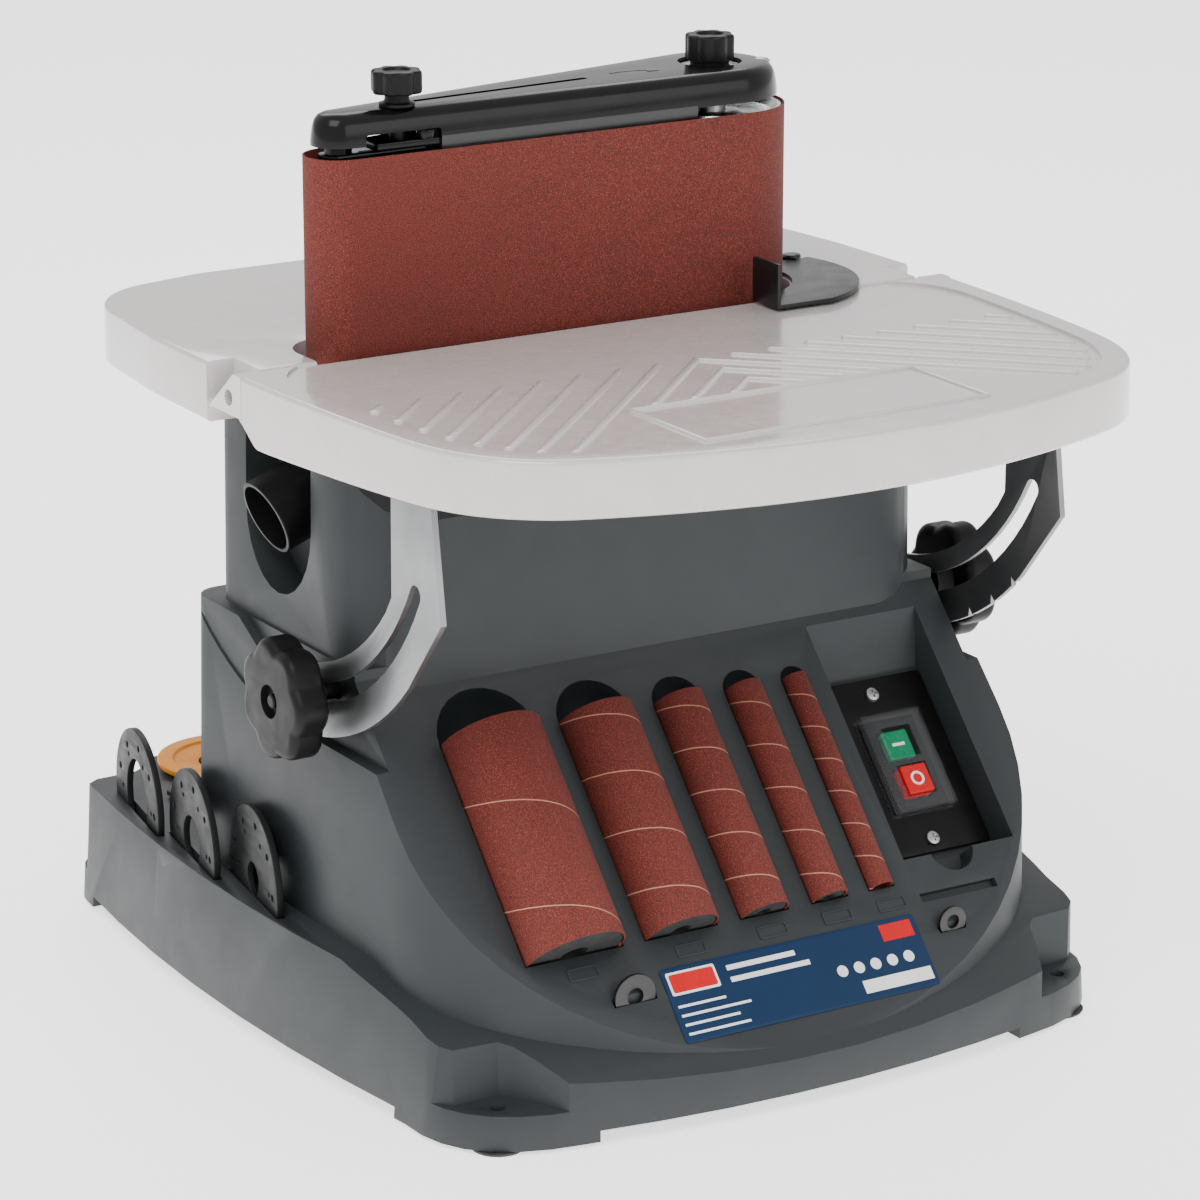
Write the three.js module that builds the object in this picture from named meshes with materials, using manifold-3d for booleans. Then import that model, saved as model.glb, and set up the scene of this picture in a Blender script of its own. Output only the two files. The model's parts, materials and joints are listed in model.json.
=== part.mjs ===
// Benchtop oscillating belt and spindle sander, a woodworking machine.
// Millimetres, +Z up. The origin lies on the floor below the seam between the two tables, and the
// machine's front, with the tilting table and the switch panel, faces -Y.
import * as THREE from "three";
import { mergeVertices } from "three/addons/utils/BufferGeometryUtils.js";
import Module from "manifold-3d";

const wasm = await Module();
wasm.setup();

// ---------------------------------------------------------------- driving dimensions
const TABLE_TOP = 331.5; // working surface above the floor
const TABLE_HALF = 199.5; // half of the tables' width
const TABLE_RIM = 32; // height of the tilting table's rim at its hinge
const FRONT_RIM = 27; // and at its front
const REAR_RIM = 29;
const TABLE_PLATE = 8; // thickness of the tables' plate
const RIM_WALL = 6;
const LEAF_FRONT = -241; // foremost point of the tilting table
const REAR_TABLE_BACK = 197;
const REAR_TABLE_CORNER = 50;
const HINGE = { y: 4.5, z: TABLE_TOP - 12, pin: 3.5 };
const LUG = 14; // width of the tilting table's hinge lugs
const NOTCH = { width: 15, depth: 28 }; // where the lugs swing in the rear table
const GAP = 0.3; // clearance between pieces that touch

const SPINDLE = { x: 86, y: 40, radius: 8, bore: 8.4 };
const IDLER = { x: -132, y: 19.5, radius: 15.6 };
const DRUM_RADIUS = 35.8;
const BELT = { low: TABLE_TOP - 9.6, width: 102, thickness: 0.9 };

const GUIDE = { x: -40, y: 33 }; // the rod that guides the belt unit up and down
const TRACKING = { x: -102, y: 17 };
const STOP = { x: 85, screwX: 150, screwY: 61 };

const TRUNNION = { x: 169.1, thickness: 3, slot: 142.5, slotWidth: 9.5, inner: 128, outer: 163.5 };
const REST_ANGLE = 13.8; // degrees from straight down to the clamp bolt, seen from the hinge
const DETENTS = [0, 15, 22.5, 30]; // degrees of table tilt marked by notches
const CLAMP = {
  y: HINGE.y - TRUNNION.slot * Math.sin(THREE.MathUtils.degToRad(REST_ANGLE)),
  z: HINGE.z - TRUNNION.slot * Math.cos(THREE.MathUtils.degToRad(REST_ANGLE)),
};
const TILT_KNOB = { radius: 30, inner: 174, outer: 199 };

const BASE = { half: 190, bulge: 197, rear: 241, platform: 64.5, edge: 7.5, block: 2 };
const FEET = [
  [-158, -167],
  [158, -167],
  [-158, 227],
  [158, 227],
];
const FLANGE_TOP = 19;
const BODY = { half: 174, rear: 111, ellipseY: -97, ellipseB: 98, shoulder: 194.5 };
const COLUMN = { half: 163.5, front: -53, rear: 101, deck: 228 };
const HUMP = { half: 62, back: 206, top: 190 };

// The sloping front panel: its foot, its slope, and the places of what it holds, measured across
// (x) and up the slope (v).
const PANEL = { y: -203, z: 19.5, slope: THREE.MathUtils.degToRad(47.5) };
const SLEEVE_LENGTH = 114.3;
const SLEEVE_FOOT = 78;
const SLEEVES = [
  { name: "50mm", radius: 25.4, x: -107.2 },
  { name: "38mm", radius: 19.05, x: -49.3 },
  { name: "25mm", radius: 12.7, x: -2.9 },
  { name: "19mm", radius: 9.5, x: 34.1 },
  { name: "13mm", radius: 6.35, x: 63.9 },
];
const RECESS = { left: 82, right: 147, foot: 88.6, head: 217, depth: 19.6, floorHead: 192.5 };
const SWITCH = { x: 114.5, v: 142, width: 26, length: 44, startV: 152, stopV: 131.5, plate: 2.2 };
const GROOVE = { left: 82.7, right: 127, v: 68.2, width: 4.5, depth: 4 };
const WASHERS = [
  { name: "spindle_washer_large", x: -85.8, v: 51.4, radius: 11, bore: 4.2, rise: 1.2 },
  { name: "spindle_washer_small", x: 93, v: 51.4, radius: 7.6, bore: 3.4, rise: 2.4 },
];

const DUST = { y: 33, z: 250, recessHalf: 33, recessFoot: 212, floor: 142, radius: 19, tilt: 22 };
const INSERTS = [
  { name: "table_insert_large_hole", x: -176, y: 161.6, turn: 10, hole: [17, 21] },
  { name: "table_insert_medium_hole", x: -180.5, y: 91, turn: 9, hole: [13, 13] },
  { name: "table_insert_small_hole", x: -179, y: 28, turn: 9, hole: [8.5, 8.5] },
];
const INSERT = { radius: 36.5, thickness: 3.4, proud: 7.5 };
const RING = { x: -104, y: 206, radius: 36.5, hole: 15 };

const MOTOR = { x: 0, y: 140, radius: 46, foot: 106, top: 184 };
const PULLEY = { low: 84, high: 98, motor: 13.6, spindle: 19.04, belt: 1.8 };
const WORM = { low: 104, high: 142, radius: 12 };
const WHEEL = { teeth: 34, tip: 27, root: 23.6, x: 81, width: 10, z: 124, throw: 8 };
WHEEL.y = SPINDLE.y - WORM.radius - WHEEL.tip - 0.4;

// ---------------------------------------------------------------- solids and placing
function toSolid(geometry) {
  const bare = geometry.clone();
  bare.deleteAttribute("normal");
  bare.deleteAttribute("uv");
  const merged = mergeVertices(bare, 1e-4);
  const index = merged.index.array;
  const position = merged.attributes.position.array;
  const kept = [];
  let volume = 0;
  for (let i = 0; i < index.length; i += 3) {
    const [a, b, c] = [index[i], index[i + 1], index[i + 2]];
    if (a === b || b === c || c === a) continue;
    kept.push(a, b, c);
    const [p, q, r] = [a, b, c].map((k) => new THREE.Vector3().fromArray(position, 3 * k));
    volume += p.dot(q.cross(r));
  }
  if (volume < 0) kept.reverse();
  return new wasm.Manifold(
    new wasm.Mesh({ numProp: 3, vertProperties: new Float32Array(position), triVerts: new Uint32Array(kept) }),
  );
}

function toGeometry(solid) {
  const mesh = solid.getMesh();
  const geometry = new THREE.BufferGeometry();
  geometry.setAttribute("position", new THREE.BufferAttribute(mesh.vertProperties, 3));
  geometry.setIndex(new THREE.BufferAttribute(mesh.triVerts, 1));
  geometry.computeVertexNormals();
  return geometry;
}

function join(...geometries) {
  return toGeometry(geometries.map(toSolid).reduce((all, next) => all.add(next)));
}

function cut(geometry, ...tools) {
  return toGeometry(tools.map(toSolid).reduce((rest, tool) => rest.subtract(tool), toSolid(geometry)));
}

function common(a, b) {
  return toGeometry(toSolid(a).intersect(toSolid(b)));
}

function block(xMin, xMax, yMin, yMax, zMin, zMax) {
  return new THREE.BoxGeometry(xMax - xMin, yMax - yMin, zMax - zMin).translate(
    (xMin + xMax) / 2,
    (yMin + yMax) / 2,
    (zMin + zMax) / 2,
  );
}

// A cylinder between two points, or a cone where the radii differ.
function rod(radius, from, to, sides = 24, endRadius = radius) {
  const start = new THREE.Vector3(...from);
  const end = new THREE.Vector3(...to);
  const axis = end.clone().sub(start);
  const turn = new THREE.Quaternion().setFromUnitVectors(new THREE.Vector3(0, 1, 0), axis.clone().normalize());
  return new THREE.CylinderGeometry(endRadius, radius, axis.length(), sides)
    .applyQuaternion(turn)
    .translate(...start.add(end).multiplyScalar(0.5).toArray());
}

// A turned piece about +Z through (x, y), from a profile of [radius, height] points.
function turned(profile, x = 0, y = 0, sides = 28) {
  const points = profile.map(([r, z]) => new THREE.Vector2(r, z));
  return new THREE.LatheGeometry(points, sides).rotateX(Math.PI / 2).translate(x, y, 0);
}

function ring(inner, outer, zMin, zMax, x = 0, y = 0, sides = 32) {
  return turned(
    [
      [inner, zMin],
      [outer, zMin],
      [outer, zMax],
      [inner, zMax],
      [inner, zMin],
    ],
    x,
    y,
    sides,
  );
}

// An outline in a plane from [across, up, corner radius] points.
function outline(corners, steps = 5) {
  const points = [];
  corners.forEach(([x, y, radius = 0], i) => {
    const here = new THREE.Vector2(x, y);
    if (radius === 0) {
      points.push(here);
      return;
    }
    const before = corners[(i + corners.length - 1) % corners.length];
    const after = corners[(i + 1) % corners.length];
    const inward = new THREE.Vector2(before[0], before[1]).sub(here).normalize();
    const outward = new THREE.Vector2(after[0], after[1]).sub(here).normalize();
    const halfAngle = Math.acos(THREE.MathUtils.clamp(inward.dot(outward), -1, 1)) / 2;
    const reach = radius / Math.tan(halfAngle);
    const centre = here.clone().add(
      inward.clone().add(outward).normalize().multiplyScalar(radius / Math.sin(halfAngle)),
    );
    const start = here.clone().add(inward.multiplyScalar(reach)).sub(centre);
    const end = here.clone().add(outward.multiplyScalar(reach)).sub(centre);
    const sweep = Math.atan2(start.x * end.y - start.y * end.x, start.dot(end));
    for (let k = 0; k <= steps; k++) {
      const turn = (sweep * k) / steps;
      points.push(start.clone().rotateAround(new THREE.Vector2(), turn).add(centre));
    }
  });
  return points;
}

// The points of a circular arc, with angles in degrees.
function arc(x, y, radius, from, to, steps) {
  return Array.from({ length: steps + 1 }, (_, k) => {
    const angle = THREE.MathUtils.degToRad(from + ((to - from) * k) / steps);
    return [x + radius * Math.cos(angle), y + radius * Math.sin(angle)];
  });
}

function asShape(points) {
  return new THREE.Shape(points.map((p) => (p.isVector2 ? p : new THREE.Vector2(p[0], p[1]))));
}

// A flat outline raised from zMin to zMax, with holes that are outlines too.
function slab(points, zMin, zMax, holes = []) {
  const shape = asShape(points);
  shape.holes = holes.map(asShape);
  return new THREE.ExtrudeGeometry(shape, { depth: zMax - zMin, bevelEnabled: false }).translate(0, 0, zMin);
}

// A side outline of [y, z] points, drawn out along X.
function sideSlab(points, xMin, xMax, holes = []) {
  const axes = new THREE.Matrix4().makeBasis(
    new THREE.Vector3(0, 1, 0),
    new THREE.Vector3(0, 0, 1),
    new THREE.Vector3(1, 0, 0),
  );
  return slab(points, xMin, xMax, holes).applyMatrix4(axes);
}

// Moves each vertex inwards with height, as draft does on a moulding.
function drafted(geometry, zMin, zMax, scale) {
  const position = geometry.attributes.position;
  for (let i = 0; i < position.count; i++) {
    const share = THREE.MathUtils.clamp((position.getZ(i) - zMin) / (zMax - zMin), 0, 1);
    const k = 1 - (1 - scale) * share;
    position.setX(i, position.getX(i) * k);
  }
  return geometry;
}

// Mirrors a geometry in the plane x = 0 and keeps its faces pointing out.
function mirrored(geometry) {
  const flipped = geometry.clone().scale(-1, 1, 1);
  return toGeometry(toSolid(flipped));
}

// Lays a piece drawn as (across, up the slope, out of the panel) on the sloping panel.
function onPanel(geometry) {
  return geometry.rotateX(PANEL.slope).translate(0, PANEL.y, PANEL.z);
}

// A disc that stands upright across the panel, half sunk in it.
function washerDisc({ x, v, rise }, radius, halfThickness, segments) {
  const y = PANEL.y + v * Math.cos(PANEL.slope);
  const z = PANEL.z + v * Math.sin(PANEL.slope) + rise;
  return rod(radius, [x, y - halfThickness, z], [x, y + halfThickness, z], segments);
}

const polar = (radius, degrees) => {
  const angle = THREE.MathUtils.degToRad(degrees);
  return [HINGE.y - radius * Math.sin(angle), HINGE.z - radius * Math.cos(angle)];
};

// ---------------------------------------------------------------- materials and the group
const MATERIALS = {
  housing: { color: 0x4b5357, roughness: 0.5, metalness: 0 },
  table: { color: 0xcdc8c4, roughness: 0.35, metalness: 0.1 },
  steel: { color: 0x9aa0a3, roughness: 0.35, metalness: 1 },
  blackSteel: { color: 0x1a1a1a, roughness: 0.3, metalness: 0.3 },
  blackPlastic: { color: 0x222224, roughness: 0.45, metalness: 0 },
  abrasive: { color: 0x82382a, roughness: 0.9, metalness: 0 },
  rubber: { color: 0x3f4242, roughness: 0.85, metalness: 0 },
  amber: { color: 0xfaa532, roughness: 0.4, metalness: 0 },
  green: { color: 0x129a6a, roughness: 0.35, metalness: 0 },
  red: { color: 0xd2232a, roughness: 0.35, metalness: 0 },
  clear: { color: 0xdfe5e8, roughness: 0.1, metalness: 0, transparent: true, opacity: 0.35 },
  aluminium: { color: 0xc2c5c8, roughness: 0.3, metalness: 1 },
};

const sander = new THREE.Group();

function add(name, geometry, material) {
  const mesh = new THREE.Mesh(geometry, new THREE.MeshStandardMaterial(MATERIALS[material]));
  mesh.name = name;
  sander.add(mesh);
}

// ---------------------------------------------------------------- base and housing
// The plinth's outline: a bowed front and bowed sides between rounded corner feet.
function plinthOutline() {
  const path = new THREE.Shape();
  path.moveTo(0, BASE.rear);
  path.lineTo(150, BASE.rear - 3);
  path.quadraticCurveTo(BASE.half - 8, BASE.rear - 5, BASE.half - 6, 212);
  path.quadraticCurveTo(2 * BASE.bulge - BASE.half + 4, 45, BASE.half - 6, -127);
  path.quadraticCurveTo(BASE.half - 2, -182, 125, -190);
  path.quadraticCurveTo(0, -214, -125, -190);
  path.quadraticCurveTo(2 - BASE.half, -182, 6 - BASE.half, -127);
  path.quadraticCurveTo(BASE.half - 2 * BASE.bulge - 4, 45, 6 - BASE.half, 212);
  path.quadraticCurveTo(8 - BASE.half, BASE.rear - 5, -150, BASE.rear - 3);
  path.closePath();
  return path.getPoints(7);
}

// What lies above the plinth's ledge, which falls away towards the front.
const LEDGE_PROFILE = [
  [-260, 14],
  [-214, 16],
  [-202, 24.5],
  [-187, 33.5],
  [-172, 40],
  [-150, 47],
  [-116, 55.5],
  [-70, BASE.platform],
  [-70, 120],
  [-260, 120],
];

// The space over each corner flange, where the bench bolts go.
function footPockets() {
  const front = [
    [-215, -143],
    [-182, -146],
    [-174, -154],
    [-151, -155],
    [-146, -160],
    [-131, -192],
    [-131, -230],
    [-215, -230],
  ];
  const back = [
    [-215, 212],
    [-181, 215],
    [-172, 221],
    [-150, 221.5],
    [-140, 228],
    [-122, 250],
    [-122, 280],
    [-215, 280],
  ];
  const left = [front, back].map((points) => slab(points, FLANGE_TOP, 120));
  return [...left, ...left.map(mirrored)];
}

function plinth() {
  const solid = drafted(slab(plinthOutline(), BASE.block, BASE.platform), BASE.block, BASE.platform, 0.975);
  return cut(
    solid,
    sideSlab(LEDGE_PROFILE, -230, 230),
    ...footPockets(),
    block(-118, 118, -260, 280, -5, BASE.edge),
    block(-230, 230, -118, 203, -5, BASE.edge),
  );
}

// The lower body's outline: a half ellipse in front, straight sides, rounded rear corners.
function bodyOutline(inset = 0) {
  const front = arc(0, 0, 1, 180, 360, 28).map(([x, y]) => [
    x * (BODY.half - inset),
    BODY.ellipseY + y * (BODY.ellipseB - inset),
  ]);
  const rear = outline([
    [BODY.half - inset, BODY.rear - inset - 30],
    [BODY.half - inset, BODY.rear - inset, 14],
    [inset - BODY.half, BODY.rear - inset, 14],
    [inset - BODY.half, BODY.rear - inset - 30],
  ]);
  return [...front, ...rear.map((p) => [p.x, p.y])];
}

// Everything in front of and above the sloping panel, moved in by the given distance.
function abovePanel(inset = 0) {
  const rise = Math.tan(PANEL.slope);
  const foot = PANEL.z - inset / Math.cos(PANEL.slope);
  const low = [-260, foot + rise * (-260 - PANEL.y)];
  const back = COLUMN.front + 6;
  return sideSlab([low, [back, foot + rise * (back - PANEL.y)], [back, 420], [-260, 420]], -230, 230);
}

function lowerBody() {
  const solid = drafted(slab(bodyOutline(), 12, BODY.shoulder), 60, BODY.shoulder, 0.972);
  return cut(solid, abovePanel());
}

function column() {
  const solid = slab(
    outline([
      [-COLUMN.half, COLUMN.front + 0.2, 34],
      [COLUMN.half, COLUMN.front + 0.2, 34],
      [COLUMN.half, COLUMN.rear, 16],
      [-COLUMN.half, COLUMN.rear, 16],
    ]),
    60,
    TABLE_TOP - TABLE_PLATE - GAP,
  );
  const slope = TABLE_TOP - 15.5;
  const frontSlope = sideSlab(
    [
      [-120, slope - 120],
      [30, slope + 30],
      [-120, slope + 30],
    ],
    -220,
    220,
  );
  return cut(drafted(solid, BODY.shoulder, 330, 0.972), frontSlope);
}

function hump() {
  const solid = slab(
    outline([
      [-HUMP.half, BODY.rear - 20],
      [HUMP.half, BODY.rear - 20],
      [HUMP.half, HUMP.back, 24],
      [-HUMP.half, HUMP.back, 24],
    ]),
    60,
    HUMP.top,
  );
  return drafted(solid, 60, HUMP.top, 0.97);
}

// The open space inside: motor and drive below the deck, the dust chamber above it.
function hollows() {
  const wall = 5;
  const plinthRoof = [
    [-128, -5],
    [-128, 43],
    [-100, 50],
    [-66, 58],
    [200, 58],
    [200, -5],
  ];
  const frontRoof = [
    [-182, -5],
    [-182, 28],
    [-160, 38],
    [-126, 44],
    [-126, -5],
  ];
  const lower = cut(slab(bodyOutline(12), 4, BODY.shoulder - wall), abovePanel(35));
  const chamber = [
    [-36, COLUMN.deck + 6],
    [-36, TABLE_TOP - 58],
    [8, TABLE_TOP - 14],
    [8, TABLE_TOP + 10],
    [90, TABLE_TOP + 10],
    [90, COLUMN.deck + 6],
  ];
  return [
    sideSlab(plinthRoof, -172, 172),
    sideSlab(frontRoof, -118, 118),
    block(-110, 110, 190, 236, -5, 58),
    lower,
    block(-126, 152, -40, 92, 150, COLUMN.deck),
    block(-80, 80, 60, 107, 60, 170),
    sideSlab(chamber, -136, 150),
    block(-HUMP.half + 8, HUMP.half - 8, 60, HUMP.back - 8, 20, HUMP.top - wall),
    block(-158, 132, -6, 84, TABLE_TOP - 24, TABLE_TOP + 10),
  ];
}

// Where the trunnions swing beside the lower body as the table tilts.
function swingRecesses() {
  const sector = [];
  for (let degrees = 8; degrees >= -44; degrees -= 4) sector.push(polar(TRUNNION.outer + 1.5, degrees));
  for (let degrees = -44; degrees <= 8; degrees += 4) sector.push(polar(TRUNNION.inner - 2, degrees));
  const side = sideSlab(sector, TRUNNION.x - 0.6, 230);
  return [side, mirrored(side)];
}

// Recesses in the housing's sides, panel and back.
function recesses() {
  const sidePocket = [
    [-130, 155],
    [-8, 155],
    [16, 165.5],
    [40, 183],
    [62, BODY.shoulder + 0.5],
    [64, 280],
    [-130, 280],
  ];
  const archTop = TABLE_TOP + 10;
  const arch = [
    [DUST.y - DUST.recessHalf, archTop],
    ...arc(DUST.y, DUST.recessFoot + 38, 1, 180, 360, 12).map(([y, z]) => [
      DUST.y + (y - DUST.y) * DUST.recessHalf,
      DUST.recessFoot + 38 + (z - DUST.recessFoot - 38) * 38,
    ]),
    [DUST.y + DUST.recessHalf, archTop],
  ];
  const switchRecess = sideSlab(
    [
      [RECESS.foot, 4],
      [RECESS.foot + 1.4, -RECESS.depth],
      [RECESS.floorHead, -RECESS.depth],
      [RECESS.head, 0],
      [RECESS.head + 3, 4],
    ],
    RECESS.left,
    RECESS.right,
  );
  const panelCuts = [
    switchRecess,
    block(SWITCH.x - 15, SWITCH.x + 15, SWITCH.v - 25, SWITCH.v + 25, -70, -RECESS.depth + 1),
    rod(12.5, [110, RECESS.foot + 2, -13], [110, RECESS.foot + 2, 4], 24),
    block(GROOVE.left, GROOVE.right, GROOVE.v - GROOVE.width / 2, GROOVE.v + GROOVE.width / 2, -GROOVE.depth, 4),
  ];
  SLEEVES.forEach(({ radius, x }) => {
    const trough = radius + 1.2;
    const head = 190.7;
    panelCuts.push(rod(trough, [x, SLEEVE_FOOT - 0.8, 0], [x, head, 0], 24));
    panelCuts.push(new THREE.SphereGeometry(trough, 24, 12).translate(x, head, 0));
  });
  const pockets = [sideSlab(sidePocket, -230, -COLUMN.half), sideSlab(sidePocket, COLUMN.half, 230)];
  const clampHoles = [-1, 1].map((side) => rod(4.4, [side * 140, CLAMP.y, CLAMP.z], [side * 180, CLAMP.y, CLAMP.z], 20));
  return [
    ...pockets,
    ...swingRecesses(),
    ...clampHoles,
    sideSlab(arch, -200, -DUST.floor),
    dustTubeCore(DUST.radius + 0.4, 30),
    ...panelCuts.map(onPanel),
    ...WASHERS.map((washer) => washerDisc(washer, washer.radius + 1, 1.6, 24)),
    rod(SPINDLE.radius + 6, [SPINDLE.x, SPINDLE.y, 200], [SPINDLE.x, SPINDLE.y, 250], 24),
    rod(5.6, [GUIDE.x, GUIDE.y, 200], [GUIDE.x, GUIDE.y, 250], 20),
    rod(8.4, [-36, HUMP.back - 20, 96], [-36, HUMP.back + 10, 96], 20),
    ...FEET.map(([x, y]) => rod(3.6, [x, y, -5], [x, y, 40], 16)),
    ...FEET.map(([x, y]) => rod(6.4, [x, y, -5], [x, y, 9.4], 20)),
    ...ventSlots(),
    ...insertSlots(),
  ];
}

// Cooling slots across the back of the motor hump.
function ventSlots() {
  return [0, 1, 2, 3, 4, 5].map((row) => {
    const z = 112 + 11 * row;
    return block(-34, 34, HUMP.back - 20, HUMP.back + 10, z, z + 5);
  });
}

// Slots in the left platform that hold the stored table inserts on edge.
function insertSlots() {
  return INSERTS.map(({ x, y, turn }) =>
    new THREE.BoxGeometry(INSERT.thickness + 1.2, 2 * INSERT.radius + 1.6, 60)
      .rotateZ(THREE.MathUtils.degToRad(-turn))
      .translate(x, y, BASE.platform + 1),
  );
}

function dustTubeCore(radius, reach, start = DUST.floor - 12) {
  const tilt = THREE.MathUtils.degToRad(DUST.tilt);
  const along = [-Math.cos(tilt), 0, -Math.sin(tilt)];
  const mouth = [-168, DUST.y, DUST.z];
  const back = (168 - start) / Math.cos(tilt);
  return rod(
    radius,
    mouth.map((c, i) => c - along[i] * back),
    mouth.map((c, i) => c + along[i] * reach),
    32,
  );
}

function baseHousing() {
  const shell = cut(join(plinth(), lowerBody(), column(), hump()), ...hollows());
  const slotFloor = common(block(-190, -160, -12, 200, 26, 62), plinth());
  const bosses = [-1, 1].map((side) =>
    rod(11, [side * (COLUMN.half - 16), CLAMP.y, CLAMP.z], [side * (TRUNNION.x - 0.5), CLAMP.y, CLAMP.z], 24),
  );
  return cut(join(shell, slotFloor, ...bosses), ...recesses());
}

function baseParts() {
  add("base_housing", baseHousing(), "housing");
  const plate = outline([
    [-160, -128, 20],
    [160, -128, 20],
    [160, 196, 20],
    [-160, 196, 20],
  ]);
  const vents = [-60, -30, 0, 30, 60].map((x) =>
    outline([
      [x - 6, 60, 5],
      [x + 6, 60, 5],
      [x + 6, 150, 5],
      [x - 6, 150, 5],
    ], 2),
  );
  add("base_plate", slab(plate, BASE.edge - 2.5, BASE.edge - 0.5, vents), "steel");
  FEET.forEach(([x, y], i) => {
    const profile = [
      [3.8, 0],
      [12.5, 0],
      [13.5, 1.7],
      [6, 1.7],
      [6, 8.8],
      [3.8, 8.8],
      [3.8, 0],
    ];
    add("rubber_foot_" + (i + 1), toGeometry(toSolid(turned(profile, x, y, 24))), "rubber");
  });
}

// ---------------------------------------------------------------- tables
function rearTableOutline(inset = 0) {
  const side = TABLE_HALF - inset;
  const back = REAR_TABLE_BACK - inset;
  const front = 0.4 + inset;
  return outline([
    [-side, front],
    [side, front],
    [side - 2, 90, 120],
    [side - 12, back - 14, REAR_TABLE_CORNER - inset],
    [118, back, 60],
    [-118, back, 60],
    [12 - side, back - 14, REAR_TABLE_CORNER - inset],
    [2 - side, 90, 120],
  ]);
}

// The opening that the sanding belt stands in, wide round the drum and narrow round the idler.
function beltOpening() {
  return [
    [IDLER.x - 23, -10],
    ...arc(IDLER.x, IDLER.y, 23, 180, 98, 6),
    ...arc(SPINDLE.x, SPINDLE.y, 41, 98, 0, 10),
    ...arc(SPINDLE.x, SPINDLE.y, 41, -15, -75, 4),
    [SPINDLE.x + 8, -10],
  ];
}

function rearTable() {
  const top = TABLE_TOP;
  const under = top - TABLE_PLATE;
  const foot = top - REAR_RIM;
  const dish = slab(rearTableOutline(RIM_WALL), foot - 1, under);
  const openFront = block(-TABLE_HALF + RIM_WALL, TABLE_HALF - RIM_WALL, -5, 40, foot - 1, under);
  const shell = cut(slab(rearTableOutline(), foot, top), dish, openFront);
  const inner = TABLE_HALF - NOTCH.width;
  const hingeBlocks = [
    sideSlab([[HINGE.y, HINGE.z + 4], [34, HINGE.z + 4], [34, HINGE.z - 8], [HINGE.y, HINGE.z - 8]], 171, inner),
    rod(8, [171, HINGE.y, HINGE.z], [inner, HINGE.y, HINGE.z], 24),
  ];
  const sides = hingeBlocks.flatMap((g) => [g, mirrored(g)]);
  const webs = [
    block(-TABLE_HALF + 2, -inner + 4, NOTCH.depth, NOTCH.depth + 6, foot, top - 1),
    block(inner - 4, TABLE_HALF - 2, NOTCH.depth, NOTCH.depth + 6, foot, top - 1),
  ];
  const notches = [
    block(-TABLE_HALF - 5, -inner, -5, NOTCH.depth, foot - 5, top + 5),
    block(inner, TABLE_HALF + 5, -5, NOTCH.depth, foot - 5, top + 5),
  ];
  const pinHoles = [-1, 1].map((side) =>
    rod(HINGE.pin + 0.3, [side * 160, HINGE.y, HINGE.z], [side * 210, HINGE.y, HINGE.z], 20),
  );
  return cut(
    join(shell, ...sides, ...webs),
    ...notches,
    ...pinHoles,
    slab(beltOpening(), under - 5, top + 5),
    rod(3.2, [STOP.screwX, STOP.screwY, under - 5], [STOP.screwX, STOP.screwY, top + 5], 16),
  );
}

function leafOutline(inset = 0) {
  const side = TABLE_HALF - inset;
  const path = new THREE.Shape();
  const rear = -0.4;
  const front = 2 * LEAF_FRONT + 213 + 2 * inset;
  path.moveTo(-side, rear);
  path.quadraticCurveTo(2.5 - side, -95, 11 - side, -150);
  path.quadraticCurveTo(20 - side, -198 + inset, -142, -213 + inset);
  path.quadraticCurveTo(-70, (front - 213 + inset) / 2, 0, LEAF_FRONT + inset);
  path.quadraticCurveTo(70, (front - 213 + inset) / 2, 142, -213 + inset);
  path.quadraticCurveTo(side - 20, -198 + inset, side - 11, -150);
  path.quadraticCurveTo(side - 2.5, -95, side, rear);
  return path.getPoints(6);
}

function tiltingTable() {
  const top = TABLE_TOP;
  const under = top - TABLE_PLATE;
  const foot = top - TABLE_RIM;
  const lugProfile = [
    [-40, top],
    [-0.4, top],
    [24.5, top - 20],
    [-5.5, top - 20],
    [-22, foot],
    [-40, foot],
  ];
  const inner = TABLE_HALF - LUG;
  const lugs = [sideSlab(lugProfile, -TABLE_HALF, -inner), sideSlab(lugProfile, inner, TABLE_HALF)];
  const ribs = [
    block(TRUNNION.x + TRUNNION.thickness + 0.3, 182, -138, -96, top - 28, under + 1),
    block(-182, -TRUNNION.x - TRUNNION.thickness - 0.3, -138, -96, top - 28, under + 1),
    block(-TABLE_HALF + 2, TABLE_HALF - 2, -171, -166, top - 16, under + 1),
    block(-TABLE_HALF + 2, -166, -26, -21, top - 16, under + 1),
    block(166, TABLE_HALF - 2, -26, -21, top - 16, under + 1),
  ];
  const rearFall = sideSlab([[0, top - 9.5], [-5.5, top - 20], [-22, foot], [-22, foot - 5], [20, foot - 5], [20, top - 9.5]],
    -inner, inner);
  const shell = cut(
    slab(leafOutline(), foot, top),
    slab(leafOutline(RIM_WALL), foot - 1, under),
    rearFall,
    block(-TABLE_HALF + RIM_WALL, TABLE_HALF - RIM_WALL, -30, 5, foot - 1, under),
  );
  const rimSlope = sideSlab(
    [[-30, foot - 0.1], [-200, top - FRONT_RIM], [-260, top - FRONT_RIM], [-260, foot - 5], [-30, foot - 5]],
    -220,
    220,
  );
  const rearTrim = sideSlab([[-0.4, top + 1], [-0.4, foot - 1], [30, foot - 1], [30, top + 1]], -inner, inner);
  const cleared = cut(join(shell, ...lugs, ...ribs), rearTrim, rimSlope);
  const holes = [-1, 1].flatMap((side) => [
    rod(HINGE.pin + 0.4, [side * 180, HINGE.y, HINGE.z], [side * 210, HINGE.y, HINGE.z], 20),
    rod(9.5, [side * 168, HINGE.y, HINGE.z], [side * (inner - 0.1), HINGE.y, HINGE.z], 24),
  ]);
  return cut(cleared, ...holes);
}

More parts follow.
